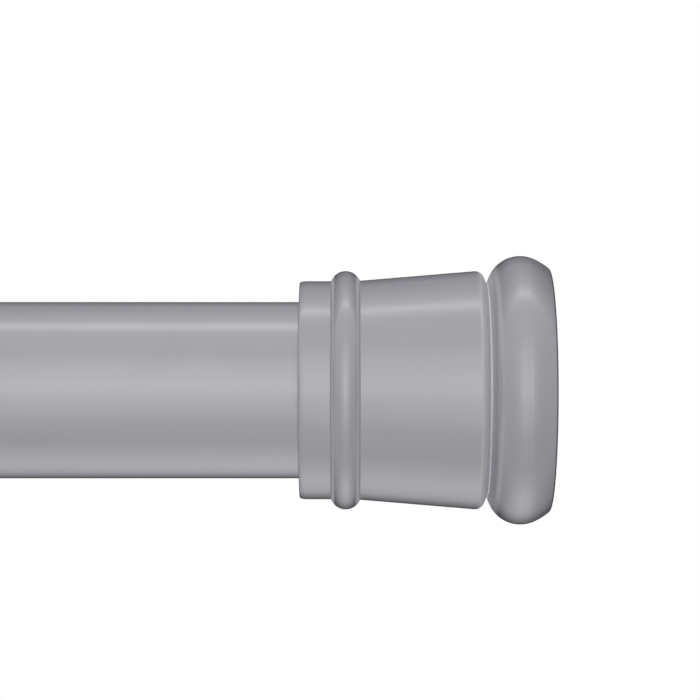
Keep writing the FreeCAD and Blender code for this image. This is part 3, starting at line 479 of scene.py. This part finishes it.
def eased(stretches, easings, closed=True, steps=5):
    """Join stretches end to end. Easing e at the end of a stretch replaces the corner by a
    conic that starts e before it and ends e after it."""
    count = len(stretches)
    pieces = []
    for here, (stretch, easing) in enumerate(zip(stretches, easings)):
        before = easings[here - 1] if here or closed else 0
        reach_first = np.linalg.norm(stretch - stretch[0], axis=1)
        reach_last = np.linalg.norm(stretch - stretch[-1], axis=1)
        keep = (reach_first > before * CLEAR_OF_EASING) & (reach_last > easing * CLEAR_OF_EASING)
        keep[0], keep[-1] = before == 0, easing == 0 and not closed and here == count - 1
        pieces.append(stretch[keep])
        if easing:
            after = stretches[(here + 1) % count]
            corner = stretch[-1]
            back = stretch[-2] - corner
            on = after[1] - corner
            leave = corner + back / np.linalg.norm(back) * easing
            join = corner + on / np.linalg.norm(on) * easing
            pieces.append(conic(leave, corner, join, steps))
    return np.concatenate(pieces)


# %% [markdown]
# Turning is a grid: each point of the outline is one row, carried round the axis in equal
# steps. A tube's outline is a loop, so the grid closes both ways. A disc's outline starts
# and ends on the axis, where a whole row shrinks to one point and the squares next to it
# become triangles. The sign of the outline's area tells which way the faces must wind. A
# Screw or Spin would turn an outline too, but here each row and column has its number, which
# is what the holes further down need.

# %% turn an outline round the axis
SHARP_ANGLE = 40
ON_AXIS, SAME_PLACE = 1e-9, 1e-7


def turned(name, outline, material, body, node, bores=()):
    """Each outline point (x, r) becomes the ring (x, r cos a, r sin a) for equal steps of a.
    Bores are the stations and columns of holes through its walls. The piece replaces its
    node, rides on its body and is smooth but for edges over SHARP_ANGLE degrees."""
    x, r = outline.T * MM
    rows, poles = len(x), r[0] < ON_AXIS
    a = np.arange(AROUND) * 2 * np.pi / AROUND
    circle = np.stack([np.cos(a), np.sin(a)], axis=-1)
    ends = np.broadcast_to(x[:, None, None], (rows, AROUND, 1))
    points = np.concatenate([ends, r[:, None, None] * circle], axis=-1)
    ids = np.arange(rows * AROUND).reshape(rows, AROUND)
    upper, lower = (ids[:-1], ids[1:]) if poles else (ids, np.roll(ids, -1, axis=0))
    quads = np.stack([upper, lower, np.roll(lower, -1, axis=1), np.roll(upper, -1, axis=1)], axis=-1)
    quads = quads.reshape(-1, 4)
    for station, column in bores:
        quads = bored(points, quads, ids, outline, station, column)
    area = np.sum(x * np.roll(r, -1) - np.roll(x, -1) * r)
    if area > 0:
        quads = quads[:, ::-1]
    used, faces = np.unique(quads, return_inverse=True)
    mesh = bpy.data.meshes.new(name)
    mesh.from_pydata(points.reshape(-1, 3)[used].tolist(), [], faces.reshape(-1, 4).tolist())
    piece = bpy.data.objects.new(name, mesh)
    bpy.context.scene.collection.objects.link(piece)
    if poles:
        merge_poles(mesh)
    finish_piece(piece, material, body, node)


def merge_poles(mesh):
    """Make one point of each row that lies on the axis, which turns its squares to triangles."""
    work = bmesh.new()
    work.from_mesh(mesh)
    bmesh.ops.remove_doubles(work, verts=work.verts, dist=SAME_PLACE)
    work.to_mesh(mesh)
    work.free()


def finish_piece(piece, material, body, node):
    """Give the piece its finish and its shading, hide the node it stands for and hang the piece on its
    body.
    """
    mesh = piece.data
    mesh.materials.append(material)
    mesh.shade_smooth()
    mesh.set_sharp_from_angle(angle=np.radians(SHARP_ANGLE))
    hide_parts(node)
    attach(piece, body)
    print(f"{piece.name}: {len(mesh.vertices)} points, {len(mesh.polygons)} faces, stands for {node}")


# %% [markdown]
# The cap is the piece that the photograph is about. From the wall it has an open rim, a full
# bulge, a narrow groove, a rounded shoulder, a long taper, a shallow bead and a plain collar
# that the tube comes out of. A moulder's drawing of such a cap is a row of circle arcs, and
# the sides between them touch the arcs without a kink. So each arc here is given by its
# centre and by the two angles between which it runs. Nought degrees points straight out
# from the axis, and the angle grows towards the tube.

# %% the cap's sizes, from its rim
CREST = (4.25, 19.325)
CREST_ARC = 4.75
RIM_ARC, RIM_TURN, RIM_EDGE = 9.0, 23.0, 0.5
FLANK_TURN = 71.0
GROOVE_RADIUS, GROOVE_ROUND = 15.5, 0.15
SHOULDER_RADIUS, SHOULDER_ARC, SHOULDER_TURN = 17.15, 1.36, 68.0
BEAD_START, BEAD_END = (27.24, 15.775), (31.4, 15.7)
BEAD_RISE = 1.42
BEAD_FOOT = 0.12
COLLAR_EDGE, COLLAR_LIP = 1.25, 0.33
WITNESS_PLACES = (-0.51, -0.23, 0.31)
WITNESS_WIDTH, WITNESS_DEPTH = 0.05, 0.009
POCKET_RADIUS, POCKET_DEPTH = 14.5, 4.5
WEB_THICKNESS, SCREW_HOLE = 3.0, 2.25
MOUTH_EDGE, INNER_EDGE, SCREW_EDGE = 0.3, 0.2, 0.1
WITNESS_CLEARANCE = 1.5


def out_at(angle):
    """The direction at this angle: its sine along the rod and its cosine out from it."""
    turn = np.radians(angle)
    return np.array([np.sin(turn), np.cos(turn)])


def arc_about(centre, radius, first, last, step=4.0):
    """The points centre + radius * direction for angles from first to last. A negative radius
    makes the hollow arc of a groove's floor."""
    count = int(np.ceil(abs(last - first) / step)) + 1
    return np.array(centre) + radius * out_at(np.linspace(first, last, count)).T


def level_arc(run_length, rise):
    """Radius of the arc that starts level and covers this run and rise."""
    return (run_length**2 + rise**2) / (2 * rise)


# %% [markdown]
# Where two arcs touch, the line through their centres goes through the touching point. That
# gives every centre from the one before it: the flatter arc beside the rim from the crest's,
# the small rounding of the rim from the flatter arc's, the groove's floor from the crest's
# along the steep flank, and the shoulder's from the floor's along the other side.

# %% the bulge
def witness_lines(arc):
    """The rings of a mould leave fine lines where they meet. Three dips, a few hundredths of a
    millimetre wide, are set into the arc near its crest."""
    centre = np.array([CREST[0], CREST[1] - CREST_ARC])
    angles = np.degrees(np.arctan2(*(arc - centre).T))
    half = np.degrees(WITNESS_WIDTH / 2 / CREST_ARC)
    for place in WITNESS_PLACES:
        angle = np.degrees(place / CREST_ARC)
        dip = np.array([
            centre + (CREST_ARC - depth) * out_at(angle + side * half)
            for side, depth in ((-1, 0), (0, WITNESS_DEPTH), (1, 0))
        ])
        clear = np.abs(angles - angle) > WITNESS_CLEARANCE * half
        before = angles < angle
        arc = np.concatenate([arc[clear & before], dip, arc[clear & ~before]])
        angles = np.degrees(np.arctan2(*(arc - centre).T))
    return arc


def bulge():
    """Stretches from the rim's face to the top of the shoulder, each touching the next."""
    crest_centre = np.array([CREST[0], CREST[1] - CREST_ARC])
    rim_centre = crest_centre + (RIM_ARC - CREST_ARC) * -out_at(-RIM_TURN)
    drop = np.sqrt((RIM_ARC - RIM_EDGE)**2 - (rim_centre[0] - RIM_EDGE)**2)
    edge_centre = np.array([RIM_EDGE, rim_centre[1] + drop])
    edge_turn = np.degrees(np.arctan2(*(edge_centre - rim_centre)))
    floor_out = GROOVE_RADIUS + GROOVE_ROUND
    along, out = out_at(FLANK_TURN)
    reach = CREST_ARC + GROOVE_ROUND - (floor_out - crest_centre[1]) * out
    floor_centre = np.array([crest_centre[0] + reach / along, floor_out])
    top_out = SHOULDER_RADIUS - SHOULDER_ARC
    along, out = out_at(SHOULDER_TURN)
    reach = SHOULDER_ARC + GROOVE_ROUND + (top_out - floor_out) * out
    top_centre = np.array([floor_centre[0] + reach / along, top_out])
    edge = arc_about(edge_centre, RIM_EDGE, -90, edge_turn, step=10)
    beside_rim = arc_about(rim_centre, RIM_ARC, edge_turn, -RIM_TURN, step=2)
    crest = witness_lines(arc_about(crest_centre, CREST_ARC, -RIM_TURN, FLANK_TURN, step=3))
    floor_arc = arc_about(floor_centre, -GROOVE_ROUND, FLANK_TURN, -SHOULDER_TURN, step=12)
    shoulder = arc_about(top_centre, SHOULDER_ARC, -SHOULDER_TURN, 0, step=5)
    return [
        run((0, POCKET_RADIUS), edge[0]),
        edge,
        beside_rim,
        crest,
        run(crest[-1], floor_arc[0]),
        floor_arc,
        run(floor_arc[-1], shoulder[0]),
        shoulder,
    ]


# %% [markdown]
# The rest of the section needs no touching arcs. The taper is a straight run, the bead is an
# arc on it, and the collar's edge is a conic, because it rounds more along the rod than down
# to it. Inside are the pocket for the wall pad, the web that the screw goes through and the
# socket for the tube, all straight, as a moulding's core leaves them.

# %% the cap's outline
def cap_outline(length, tube_radius):
    """The whole section of a cap as a loop, from the rim round the outside and back inside."""
    socket = tube_radius + PUSH_PLAY
    web_back = POCKET_DEPTH + WEB_THICKNESS
    outside = bulge()
    bead_arc = level_arc((BEAD_END[0] - BEAD_START[0]) / 2, BEAD_RISE)
    collar = (length - COLLAR_EDGE, BEAD_END[1])
    mouth = (length, BEAD_END[1] - COLLAR_LIP)
    back = [mouth, (length, socket), (web_back, socket), (web_back, SCREW_HOLE)]
    back += [(POCKET_DEPTH, SCREW_HOLE), (POCKET_DEPTH, POCKET_RADIUS), (0, POCKET_RADIUS)]
    stretches = outside + [
        run(outside[-1][-1], BEAD_START),
        bend(BEAD_START, BEAD_END, bead_arc),
        run(BEAD_END, collar),
        conic(collar, (length, BEAD_END[1]), mouth, count=16),
    ]
    easings = [0] * len(outside) + [BEAD_FOOT, BEAD_FOOT, 0, 0]
    stretches += [run(start, end) for start, end in zip(back[:-1], back[1:])]
    easings += [MOUTH_EDGE, INNER_EDGE, SCREW_EDGE, SCREW_EDGE, INNER_EDGE, MOUTH_EDGE]
    return eased(stretches, easings)


# %% [markdown]
# One outline serves both ends. The left cap faces the other way and has the small tube in
# its socket. It isn't a mirrored copy, since a mirrored mesh would be inside out.

# %% both caps
def make_cap(name, node, body, rim_x, away, tube_radius):
    """Set the outline's rim at rim_x, its length running along away, +1 or -1."""
    low, high = span(node)[:2]
    outline = cap_outline(high - low, tube_radius)
    outline[:, 0] = rim_x + away * outline[:, 0]
    turned(name, outline, NICKEL_CAP, body, node)


make_cap("right_cap", "end_cap", "outer", span("end_cap")[1], -1, LARGE_RADIUS)
make_cap("left_cap", "end_cap_far", "inner", span("end_cap_far")[0], 1, SMALL_RADIUS)

# %% [markdown]
# The small tube has four holes, where rivets hold the pieces inside it. A Boolean would cut
# them but leave slivers round each. On a grid a round hole is made in this way: close rows
# make squares round its station, a block of them is left out, the block's edge is drawn in
# to the hole's circle, and squares join the circle outside to that inside.

# %% a rivet's hole
HOLE_RADIUS = (span("seat_rivets")[1] - span("seat_rivets")[0]) / 2 + PUSH_PLAY
BLOCK = 6
BLOCK_STEPS = np.arange(-BLOCK, BLOCK + 1)
ROW_STEP = 2 * np.pi * SMALL_RADIUS / AROUND


def block_edge():
    """Row and column steps once round the edge of a block of squares, from -BLOCK to BLOCK."""
    side = BLOCK_STEPS[:-1]
    ends = np.full_like(side, BLOCK)
    return np.concatenate([side, ends, -side, -ends]), np.concatenate([-ends, side, ends, -side])


def bored(points, quads, ids, outline, station, column):
    """Bore through the wall at a station and a column of the grid, outside and inside. The
    block's edge is put at (station + R u, r cos a, r sin a), where (u, v) is the unit way from
    the block's middle and a is the column's angle plus the arcsine of R v / r. The points
    change in place, and the new quads are given back."""
    along, across = block_edge()
    u, v = np.stack([along, across]) / np.hypot(along, across)
    columns = (column + BLOCK_STEPS) % AROUND
    x, r = outline.T
    rings = []
    for radius in (r.max(), r.min()):
        rows = np.flatnonzero(np.isclose(r, radius) & (abs(x - station) < (BLOCK + 0.5) * ROW_STEP))
        rows = rows[np.argsort(x[rows])]
        a = column * 2 * np.pi / AROUND + np.arcsin(HOLE_RADIUS * v / radius)
        circle = np.stack([station + HOLE_RADIUS * u, radius * np.cos(a), radius * np.sin(a)], axis=1)
        row, turn = rows[along + BLOCK], columns[across + BLOCK]
        points[row, turn] = MM * circle
        rings.append(ids[row, turn])
        quads = quads[~np.isin(quads, ids[np.ix_(rows, columns)]).all(axis=1)]
    outer, inner = rings
    walls = np.stack([outer, np.roll(outer, -1), np.roll(inner, -1), inner], axis=1)
    return np.concatenate([quads, walls])


# %% [markdown]
# A tube is the simplest turned piece: a thin rectangle carried round. Its cut ends are
# deburred, so the four corners are eased by a tenth of a millimetre. Where a hole is to come,
# its wall has the close rows.

# %% both tubes
DEBURRED = 0.12
RIVET_STATIONS = [sum(span(node)[:2]) / 2 for node in ("bushing_rivets", "seat_rivets")]
RIVET_COLUMNS = (0, AROUND // 2)
RIVET_HOLES = [(station, column) for station in RIVET_STATIONS for column in RIVET_COLUMNS]


def tube_outline(start, end, radius, stations=()):
    """The section of a tube's wall as a loop, with the rows of BLOCK_STEPS at each station."""
    inner = radius - TUBE_WALL
    corners = [(start, inner), (start, radius), (end, radius), (end, inner)]
    stretches = [run(corner, corners[(here + 1) % 4], hold=0.5) for here, corner in enumerate(corners)]
    for wall, way in ((1, 1), (3, -1)):
        for station in stations:
            rows = [(station + ROW_STEP * step, corners[wall][1]) for step in BLOCK_STEPS]
            stretches[wall] = np.concatenate([stretches[wall], rows])
        stretches[wall] = stretches[wall][np.argsort(way * stretches[wall][:, 0])]
    return eased(stretches, [DEBURRED] * 4)


turned("large_tube", tube_outline(*span("outer_tube")), NICKEL_TUBE, "outer", "outer_tube")
turned("small_tube", tube_outline(*span("inner_tube"), RIVET_STATIONS), NICKEL_TUBE, "inner",
       "inner_tube", RIVET_HOLES)

# %% [markdown]
# A ring of grey plastic dresses the cut end of the large tube and guides the small one. Its
# flange has the rounded edge that one sees, and its thin sleeve sits inside the large tube.
# It is one moulding, so it is one outline.

# %% the trim ring
TRIM_FLANGE, TRIM_ROUND = 5.0, 1.6


def trim_outline():
    """The ring's section as a loop of corners, each with its easing. The second stretch is the
    round between the ring's face and its side."""
    start, end, radius = span("tube_trim_ring")
    bore = SMALL_RADIUS + SLIDE_PLAY
    sleeve = LARGE_RADIUS - TUBE_WALL - PUSH_PLAY
    flange = start + TRIM_FLANGE
    corners = [
        ((start, bore), 0.25),
        ((start, radius - TRIM_ROUND), 0),
        ((start + TRIM_ROUND, radius), 0),
        ((flange, radius), 0.2),
        ((flange, sleeve), 0.05),
        ((end, sleeve), 0.2),
        ((end, bore), 0.1),
    ]
    places = [place for place, easing in corners]
    stretches = []
    for here, place in enumerate(places):
        after = places[(here + 1) % len(places)]
        stretches.append(bend(place, after, TRIM_ROUND) if here == 1 else run(place, after))
    return eased(stretches, [easing for place, easing in corners[1:] + corners[:1]])


turned("trim_ring", trim_outline(), TRIM_GREY, "outer", "tube_trim_ring")

# %% [markdown]
# The wall pad is a disc of rubber let into the rim, a quarter of a millimetre proud of it.
# Two round grooves in its face break the suction and grip the tile. Behind is a hollow for
# the head of the screw. It is a disc, so its outline starts and ends on the axis.

# %% both wall pads
GRIP_INNER = (8.5, 11.5)
GRIP_WIDTH, GRIP_DEPTH = 1.2, 0.5
GRIP_EDGE, PAD_EDGE, BACK_EDGE = 0.15, 0.5, 0.2
HOLLOW_RADIUS, HOLLOW_FROM_FACE = 5.7, 1.0


def pad_outline(depth, radius):
    """From the middle of the face outwards over both grooves, round the side and back in."""
    face = [((0, 0), 0)]
    for inner in GRIP_INNER:
        outer = inner + GRIP_WIDTH
        groove = [(0, inner), (GRIP_DEPTH, inner), (GRIP_DEPTH, outer), (0, outer)]
        face += [(corner, GRIP_EDGE) for corner in groove]
    corners = face + [
        ((0, radius), PAD_EDGE),
        ((depth, radius), BACK_EDGE),
        ((depth, HOLLOW_RADIUS), BACK_EDGE),
        ((HOLLOW_FROM_FACE, HOLLOW_RADIUS), BACK_EDGE),
        ((HOLLOW_FROM_FACE, 0), 0),
    ]
    places = [place for place, easing in corners]
    stretches = [run(start, end) for start, end in zip(places[:-1], places[1:])]
    return eased(stretches, [easing for place, easing in corners[1:]], closed=False)


def make_pad(name, node, body, face_x, away):
    """Set the outline's face at face_x, its depth running along away, +1 or -1."""
    low, high, radius = span(node)
    outline = pad_outline(high - low, radius)
    outline[:, 0] = face_x + away * outline[:, 0]
    turned(name, outline, GREY_RUBBER, body, node)


make_pad("right_pad", "wall_pad", "outer", span("wall_pad")[1], -1)
make_pad("left_pad", "wall_pad_far", "inner", span("wall_pad_far")[0], 1)

# %% [markdown]
# The spring is round wire wound on a helix. Its end turns lie close together, and a Screw
# modifier knows one pitch only. So the wire's way along the rod is worked out as the sum of
# a rate that is small in the first and last turn and larger between them. The section is a
# circle set square to the wire at each point. When the rod is squeezed the coil closes up.

# %% the spring
WIRE_RADIUS = 0.9
ACTIVE_TURNS, END_TURNS = 7, 1
END_TURN_GAP, EASE_TURNS = 0.18, 0.25
STEPS_PER_TURN, WIRE_SIDES = 72, 20


def spring_line():
    """Points of the wire's middle: a circle of the coil's mean radius, moved along by the
    running total of the rate, which eases from close to free in EASE_TURNS."""
    low, high, radius = span("tension_spring")
    mean = radius - WIRE_RADIUS
    turns = ACTIVE_TURNS + 2 * END_TURNS
    t = np.linspace(0, turns, turns * STEPS_PER_TURN + 1)
    close = 2 * WIRE_RADIUS + END_TURN_GAP
    way = high - low - 2 * WIRE_RADIUS
    open_share = np.clip(np.minimum(t - END_TURNS, turns - END_TURNS - t) / EASE_TURNS + 0.5, 0, 1)
    step = (t[1] - t[0]) * (open_share[1:] + open_share[:-1]) / 2
    free = (way - close * turns) / step.sum()
    along = np.concatenate([[0], np.cumsum(close * (t[1] - t[0]) + free * step)])
    angle = 2 * np.pi * t
    return np.stack([high - WIRE_RADIUS - along, -mean * np.cos(angle), mean * np.sin(angle)], axis=1)


def wire_grid(line):
    """A ring of points round each point of the line, in the plane of out (away from the axis)
    and side (the way of the wire crossed with out)."""
    way = np.gradient(line, axis=0)
    way /= np.linalg.norm(way, axis=1)[:, None]
    out = line * [0, 1, 1]
    out -= way * np.sum(out * way, axis=1)[:, None]
    out /= np.linalg.norm(out, axis=1)[:, None]
    side = np.cross(way, out)
    a = np.arange(WIRE_SIDES) * 2 * np.pi / WIRE_SIDES
    ring = np.cos(a)[:, None] * out[:, None] + np.sin(a)[:, None] * side[:, None]
    return line[:, None] + WIRE_RADIUS * ring


def make_spring():
    """Squares join each ring of the wire to the next, and a face closes each cut end."""
    line = spring_line()
    grid = wire_grid(line) * MM
    rows = len(line)
    ids = np.arange(rows * WIRE_SIDES).reshape(rows, WIRE_SIDES)
    upper, lower = ids[:-1], ids[1:]
    quads = np.stack([upper, np.roll(upper, -1, axis=1), np.roll(lower, -1, axis=1), lower], axis=-1)
    ends = [ids[0][::-1].tolist(), ids[-1].tolist()]
    mesh = bpy.data.meshes.new("spring_coil")
    mesh.from_pydata(grid.reshape(-1, 3).tolist(), [], quads.reshape(-1, 4).tolist() + ends)
    piece = bpy.data.objects.new("spring_coil", mesh)
    bpy.context.scene.collection.objects.link(piece)
    finish_piece(piece, SPRING_WIRE, "inner", "tension_spring")
    return piece


spring_coil = make_spring()
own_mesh(spring_coil)

# %% [markdown]
# The rest keeps its own mesh: plugs, screws, washers, the lock and its cone, the plunger
# and the rivets. They sit inside the tubes, but a reader who opens the rod finds each in
# its true finish.

# %% finishes for the pieces inside
INSIDE = {
    "end_plug": PLUG_BLACK, "end_plug_far": PLUG_BLACK,
    "cap_screw": ZINC, "cap_screw_far": ZINC, "cap_washer": ZINC, "cap_washer_far": ZINC,
    "lock_sleeve": LOCK_NATURAL, "drag_ring": BLACK_RUBBER, "thrust_washer": ZINC,
    "cone_nut": CONE_BLACK, "plunger_rod": ZINC_STUD, "stop_nut": ZINC,
    "plunger_head": LOCK_NATURAL, "plunger_screw": ZINC,
    "inner_bushing": LOCK_NATURAL, "bushing_rivets": ALUMINIUM,
    "spring_seat": LOCK_NATURAL, "seat_rivets": ALUMINIUM,
}
for node, material in INSIDE.items():
    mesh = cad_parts[node].data
    mesh.materials.clear()
    mesh.materials.append(material)
print("finished inside", len(INSIDE))

# %% [markdown]
# The camera stands level in front of the right end, 6 mm above the rod's axis and less than
# an arm's length away. So near, the front of the cap is drawn about a twentieth larger than
# its middle, and the groove and the bead bow outwards. The lens is worked out from how many
# pixels one camera distance covers.

# %% the camera
PICTURE_PX = 700
DISTANCE_PX = 2560
SENSOR_MM = 36.0
CAMERA_PLACE = (-28.93, -369.0, 5.79)
NEAREST_SEEN = 10.0

camera = bpy.data.objects.new("camera", bpy.data.cameras.new("camera"))
bpy.context.scene.collection.objects.link(camera)
camera.location = np.array(CAMERA_PLACE) * MM
camera.rotation_euler = (np.pi / 2, 0, 0)
camera.data.sensor_width = SENSOR_MM
camera.data.lens = SENSOR_MM * DISTANCE_PX / PICTURE_PX
camera.data.clip_start = NEAREST_SEEN * MM
bpy.context.scene.camera = camera
print(f"lens {camera.data.lens:.1f} mm")

# %% [markdown]
# A pale floor lies well below the rod, as a table would under a part held up for its
# picture, and it keeps the rod's shadow. Towards its edges it grows clear and so fades into
# the white behind. For mirror rays and rays through clear things it is let through, so that
# metal shows the studio's own light down there and no floor's edge. Its faint clouds keep it
# from looking like a flat fill.

# %% the floor
FLOOR_DROP = 150.0
FLOOR_MIDDLE = np.array([-750.0, -300.0, -FLOOR_DROP])
FLOOR_REACH = np.array([2250.0, 1000.0, 1.0])
FADE_FROM = 0.3
CLOUDS_PER_METRE = 9.0


def pale_floor():
    """The way out from the floor's middle, as a share of its reach each way, fades it from
    FADE_FROM to its edge."""
    material, tree, shader = new_material("pale_matt_floor")
    place = add_node(tree, "ShaderNodeTexCoord").outputs["Object"]
    noise = add_node(tree, "ShaderNodeTexNoise", Vector=place, Scale=CLOUDS_PER_METRE, Detail=3.0)
    clouds = noise.outputs["Fac"]
    surface(tree, shader, clouds, ("F4F4F4", "F7F7F7"), clouds, dullness=(0.85, 0.95), depth_mm=0.05,
            strength=0.1)
    offset = add_node(tree, "ShaderNodeVectorMath", {"operation": "SUBTRACT"}, _0=place,
                      _1=(FLOOR_MIDDLE * MM).tolist())
    share = add_node(tree, "ShaderNodeVectorMath", {"operation": "DIVIDE"}, _0=offset.outputs[0],
                     _1=(FLOOR_REACH * MM).tolist())
    way_out = add_node(tree, "ShaderNodeVectorMath", {"operation": "LENGTH"}, _0=share.outputs[0])
    gone = add_node(tree, "ShaderNodeMapRange", {"interpolation_type": "SMOOTHSTEP"},
                    _0=way_out.outputs["Value"], _1=FADE_FROM, _2=1.0)
    rays = add_node(tree, "ShaderNodeLightPath").outputs
    mirrored = add_node(tree, "ShaderNodeMath", {"operation": "MAXIMUM"}, _0=rays["Is Glossy Ray"],
                        _1=rays["Is Transmission Ray"])
    hidden = add_node(tree, "ShaderNodeMath", {"operation": "MAXIMUM"}, _0=mirrored.outputs[0],
                      _1=gone.outputs[0])
    clear = add_node(tree, "ShaderNodeBsdfTransparent")
    choice = add_node(tree, "ShaderNodeMixShader", _0=hidden.outputs[0], _1=shader.outputs[0],
                      _2=clear.outputs[0])
    output = next(node for node in tree.nodes if node.type == "OUTPUT_MATERIAL")
    tree.links.new(choice.outputs[0], output.inputs["Surface"])
    return material


corners = FLOOR_MIDDLE + FLOOR_REACH * [(-1, -1, 0), (1, -1, 0), (1, 1, 0), (-1, 1, 0)]
mesh = bpy.data.meshes.new("floor")
mesh.from_pydata((corners * MM).tolist(), [], [(0, 1, 2, 3)])
mesh.materials.append(pale_floor())
floor = bpy.data.objects.new("floor", mesh)
bpy.context.scene.collection.objects.link(floor)
print("floor corners in mm", corners.tolist())

# %% [markdown]
# Metal shows the room, so the room is what gives this object its bands of light. A direction
# in it is told by two numbers. The first is its angle in the plane across the rod: nought
# towards the camera, 90 degrees straight up, 180 behind the rod. A ramp holds how bright the
# room is at each angle, with soft steps between. The second is how far the direction leans
# along the rod: there every lamp fades into a side light, dimmer at the back and below. Area
# lamps could do the same, but metal would show the edges of each, and the world has none.

# %% the studio's light
LAMP = linear("FEFFFB")
PLAIN = linear("FFFFFF")
COOL = linear("FDFDFF")
SHADE = linear("F8F8FF")
SIDE_FRONT, SIDE_BACK = 0.785, 0.45
SIDE_TILT = (-0.03, 0.0, 0.15)
LAMP_REACH = 0.475
# the angle in degrees, the level, the white
ROUND_THE_ROD = (
    (-180, 0.40, SHADE),
    (-162, 0.44, SHADE),
    (-150, 1.18, COOL),
    (-136, 1.33, COOL),
    (-120, 1.155, PLAIN),
    (-105, 1.06, PLAIN),
    (-90, 0.915, PLAIN),
    (-70, 0.80, COOL),
    (-45, 0.85, COOL),
    (-22, 0.985, PLAIN),
    (6, 1.185, LAMP),
    (26, 1.09, LAMP),
    (50, 0.925, PLAIN),
    (76, 0.93, PLAIN),
    (84, 1.015, LAMP),
    (92, 1.42, LAMP),
    (100, 1.0, LAMP),
    (110, 0.94, PLAIN),
    (126, 0.97, COOL),
    (144, 1.31, COOL),
    (156, 1.37, SHADE),
    (164, 0.90, SHADE),
    (180, 0.40, SHADE),
)


def lit(level, white):
    """This white, as many times as bright as the level says."""
    return (*(level * np.array(white[:3])).tolist(), 1.0)


def room_light(tree, direction):
    """The ramp's colour at atan2(up, forward), mixed with the side light by e to the minus
    (lean / LAMP_REACH) squared. The side light grows along SIDE_TILT."""
    lean, back, up = add_node(tree, "ShaderNodeSeparateXYZ", _0=direction).outputs
    forward = add_node(tree, "ShaderNodeMath", {"operation": "MULTIPLY"}, _0=back, _1=-1.0)
    angle = add_node(tree, "ShaderNodeMath", {"operation": "ARCTAN2"}, _0=up, _1=forward.outputs[0])
    share = add_node(tree, "ShaderNodeMapRange", _0=angle.outputs[0], _1=-np.pi, _2=np.pi)
    stops = [((degrees + 180) / 360, lit(level, white)) for degrees, level, white in ROUND_THE_ROD]
    ramp = add_node(tree, "ShaderNodeValToRGB", stops=stops, Fac=share.outputs[0])
    ramp.color_ramp.interpolation = "EASE"
    side = add_node(tree, "ShaderNodeMix", {"data_type": "RGBA"}, _0=back, _6=lit(SIDE_FRONT, COOL),
                    _7=lit(SIDE_BACK, SHADE))
    tilt = add_node(tree, "ShaderNodeVectorMath", {"operation": "DOT_PRODUCT"}, _0=direction, _1=SIDE_TILT)
    gain = add_node(tree, "ShaderNodeMath", {"operation": "ADD"}, _0=tilt.outputs["Value"], _1=1.0)
    tilted = add_node(tree, "ShaderNodeVectorMath", {"operation": "SCALE"}, _0=side.outputs[2],
                      _3=gain.outputs[0])
    square = add_node(tree, "ShaderNodeMath", {"operation": "MULTIPLY"}, _0=lean, _1=lean)
    power = add_node(tree, "ShaderNodeMath", {"operation": "MULTIPLY"}, _0=square.outputs[0],
                     _1=-1 / LAMP_REACH**2)
    fade = add_node(tree, "ShaderNodeMath", {"operation": "EXPONENT"}, _0=power.outputs[0])
    mixed = add_node(tree, "ShaderNodeMix", {"data_type": "RGBA"}, _0=fade.outputs[0],
                     _6=tilted.outputs[0], _7=ramp.outputs[0])
    return mixed.outputs[2]


# %% [markdown]
# The camera sees plain white all round, as the photograph has it. That white is a card
# behind the rod: mirror rays and rays through clear things that leave towards it see it too,
# so the metal shows the same background as the camera does. A photographer of bright metal
# stands black flags round such a card, just outside the picture. They draw a dark line
# along the outline, and without them the edge would melt into the white.

# %% the world
CARD_ANGLE = 8.0
FLAG_ANGLE, FLAG_LEVEL = 16.0, 0.12

world = bpy.data.worlds.new("studio_room")
bpy.context.scene.world = world
world.use_nodes = True
tree = world.node_tree
tree.nodes.clear()
direction = add_node(tree, "ShaderNodeTexCoord").outputs["Generated"]
behind = add_node(tree, "ShaderNodeSeparateXYZ", _0=direction).outputs["Y"]
rays = add_node(tree, "ShaderNodeLightPath").outputs
mirrored = add_node(tree, "ShaderNodeMath", {"operation": "MAXIMUM"}, _0=rays["Is Glossy Ray"],
                    _1=rays["Is Transmission Ray"])
on_card = add_node(tree, "ShaderNodeMath", {"operation": "GREATER_THAN"}, _0=behind,
                   _1=float(np.cos(np.radians(CARD_ANGLE))))
card = add_node(tree, "ShaderNodeMath", {"operation": "MULTIPLY"}, _0=mirrored.outputs[0],
                _1=on_card.outputs[0])
seen = add_node(tree, "ShaderNodeMath", {"operation": "MAXIMUM"}, _0=rays["Is Camera Ray"],
                _1=card.outputs[0])
on_flag = add_node(tree, "ShaderNodeMath", {"operation": "GREATER_THAN"}, _0=behind,
                   _1=float(np.cos(np.radians(FLAG_ANGLE))))
strength = add_node(tree, "ShaderNodeMapRange", _0=on_flag.outputs[0], _3=1.0, _4=FLAG_LEVEL)
room = add_node(tree, "ShaderNodeBackground", Color=room_light(tree, direction),
                Strength=strength.outputs[0])
white = add_node(tree, "ShaderNodeBackground", Color=PLAIN, Strength=1.0)
choice = add_node(tree, "ShaderNodeMixShader", _0=seen.outputs[0], _1=room.outputs[0],
                  _2=white.outputs[0])
add_node(tree, "ShaderNodeOutputWorld", Surface=choice.outputs[0])
print("light levels", [level for degrees, level, white in ROUND_THE_ROD])

# %% [markdown]
# The picture is shown with the plain Standard view, so a colour comes out as it was written.

# %% finish
bpy.context.scene.view_settings.view_transform = "Standard"
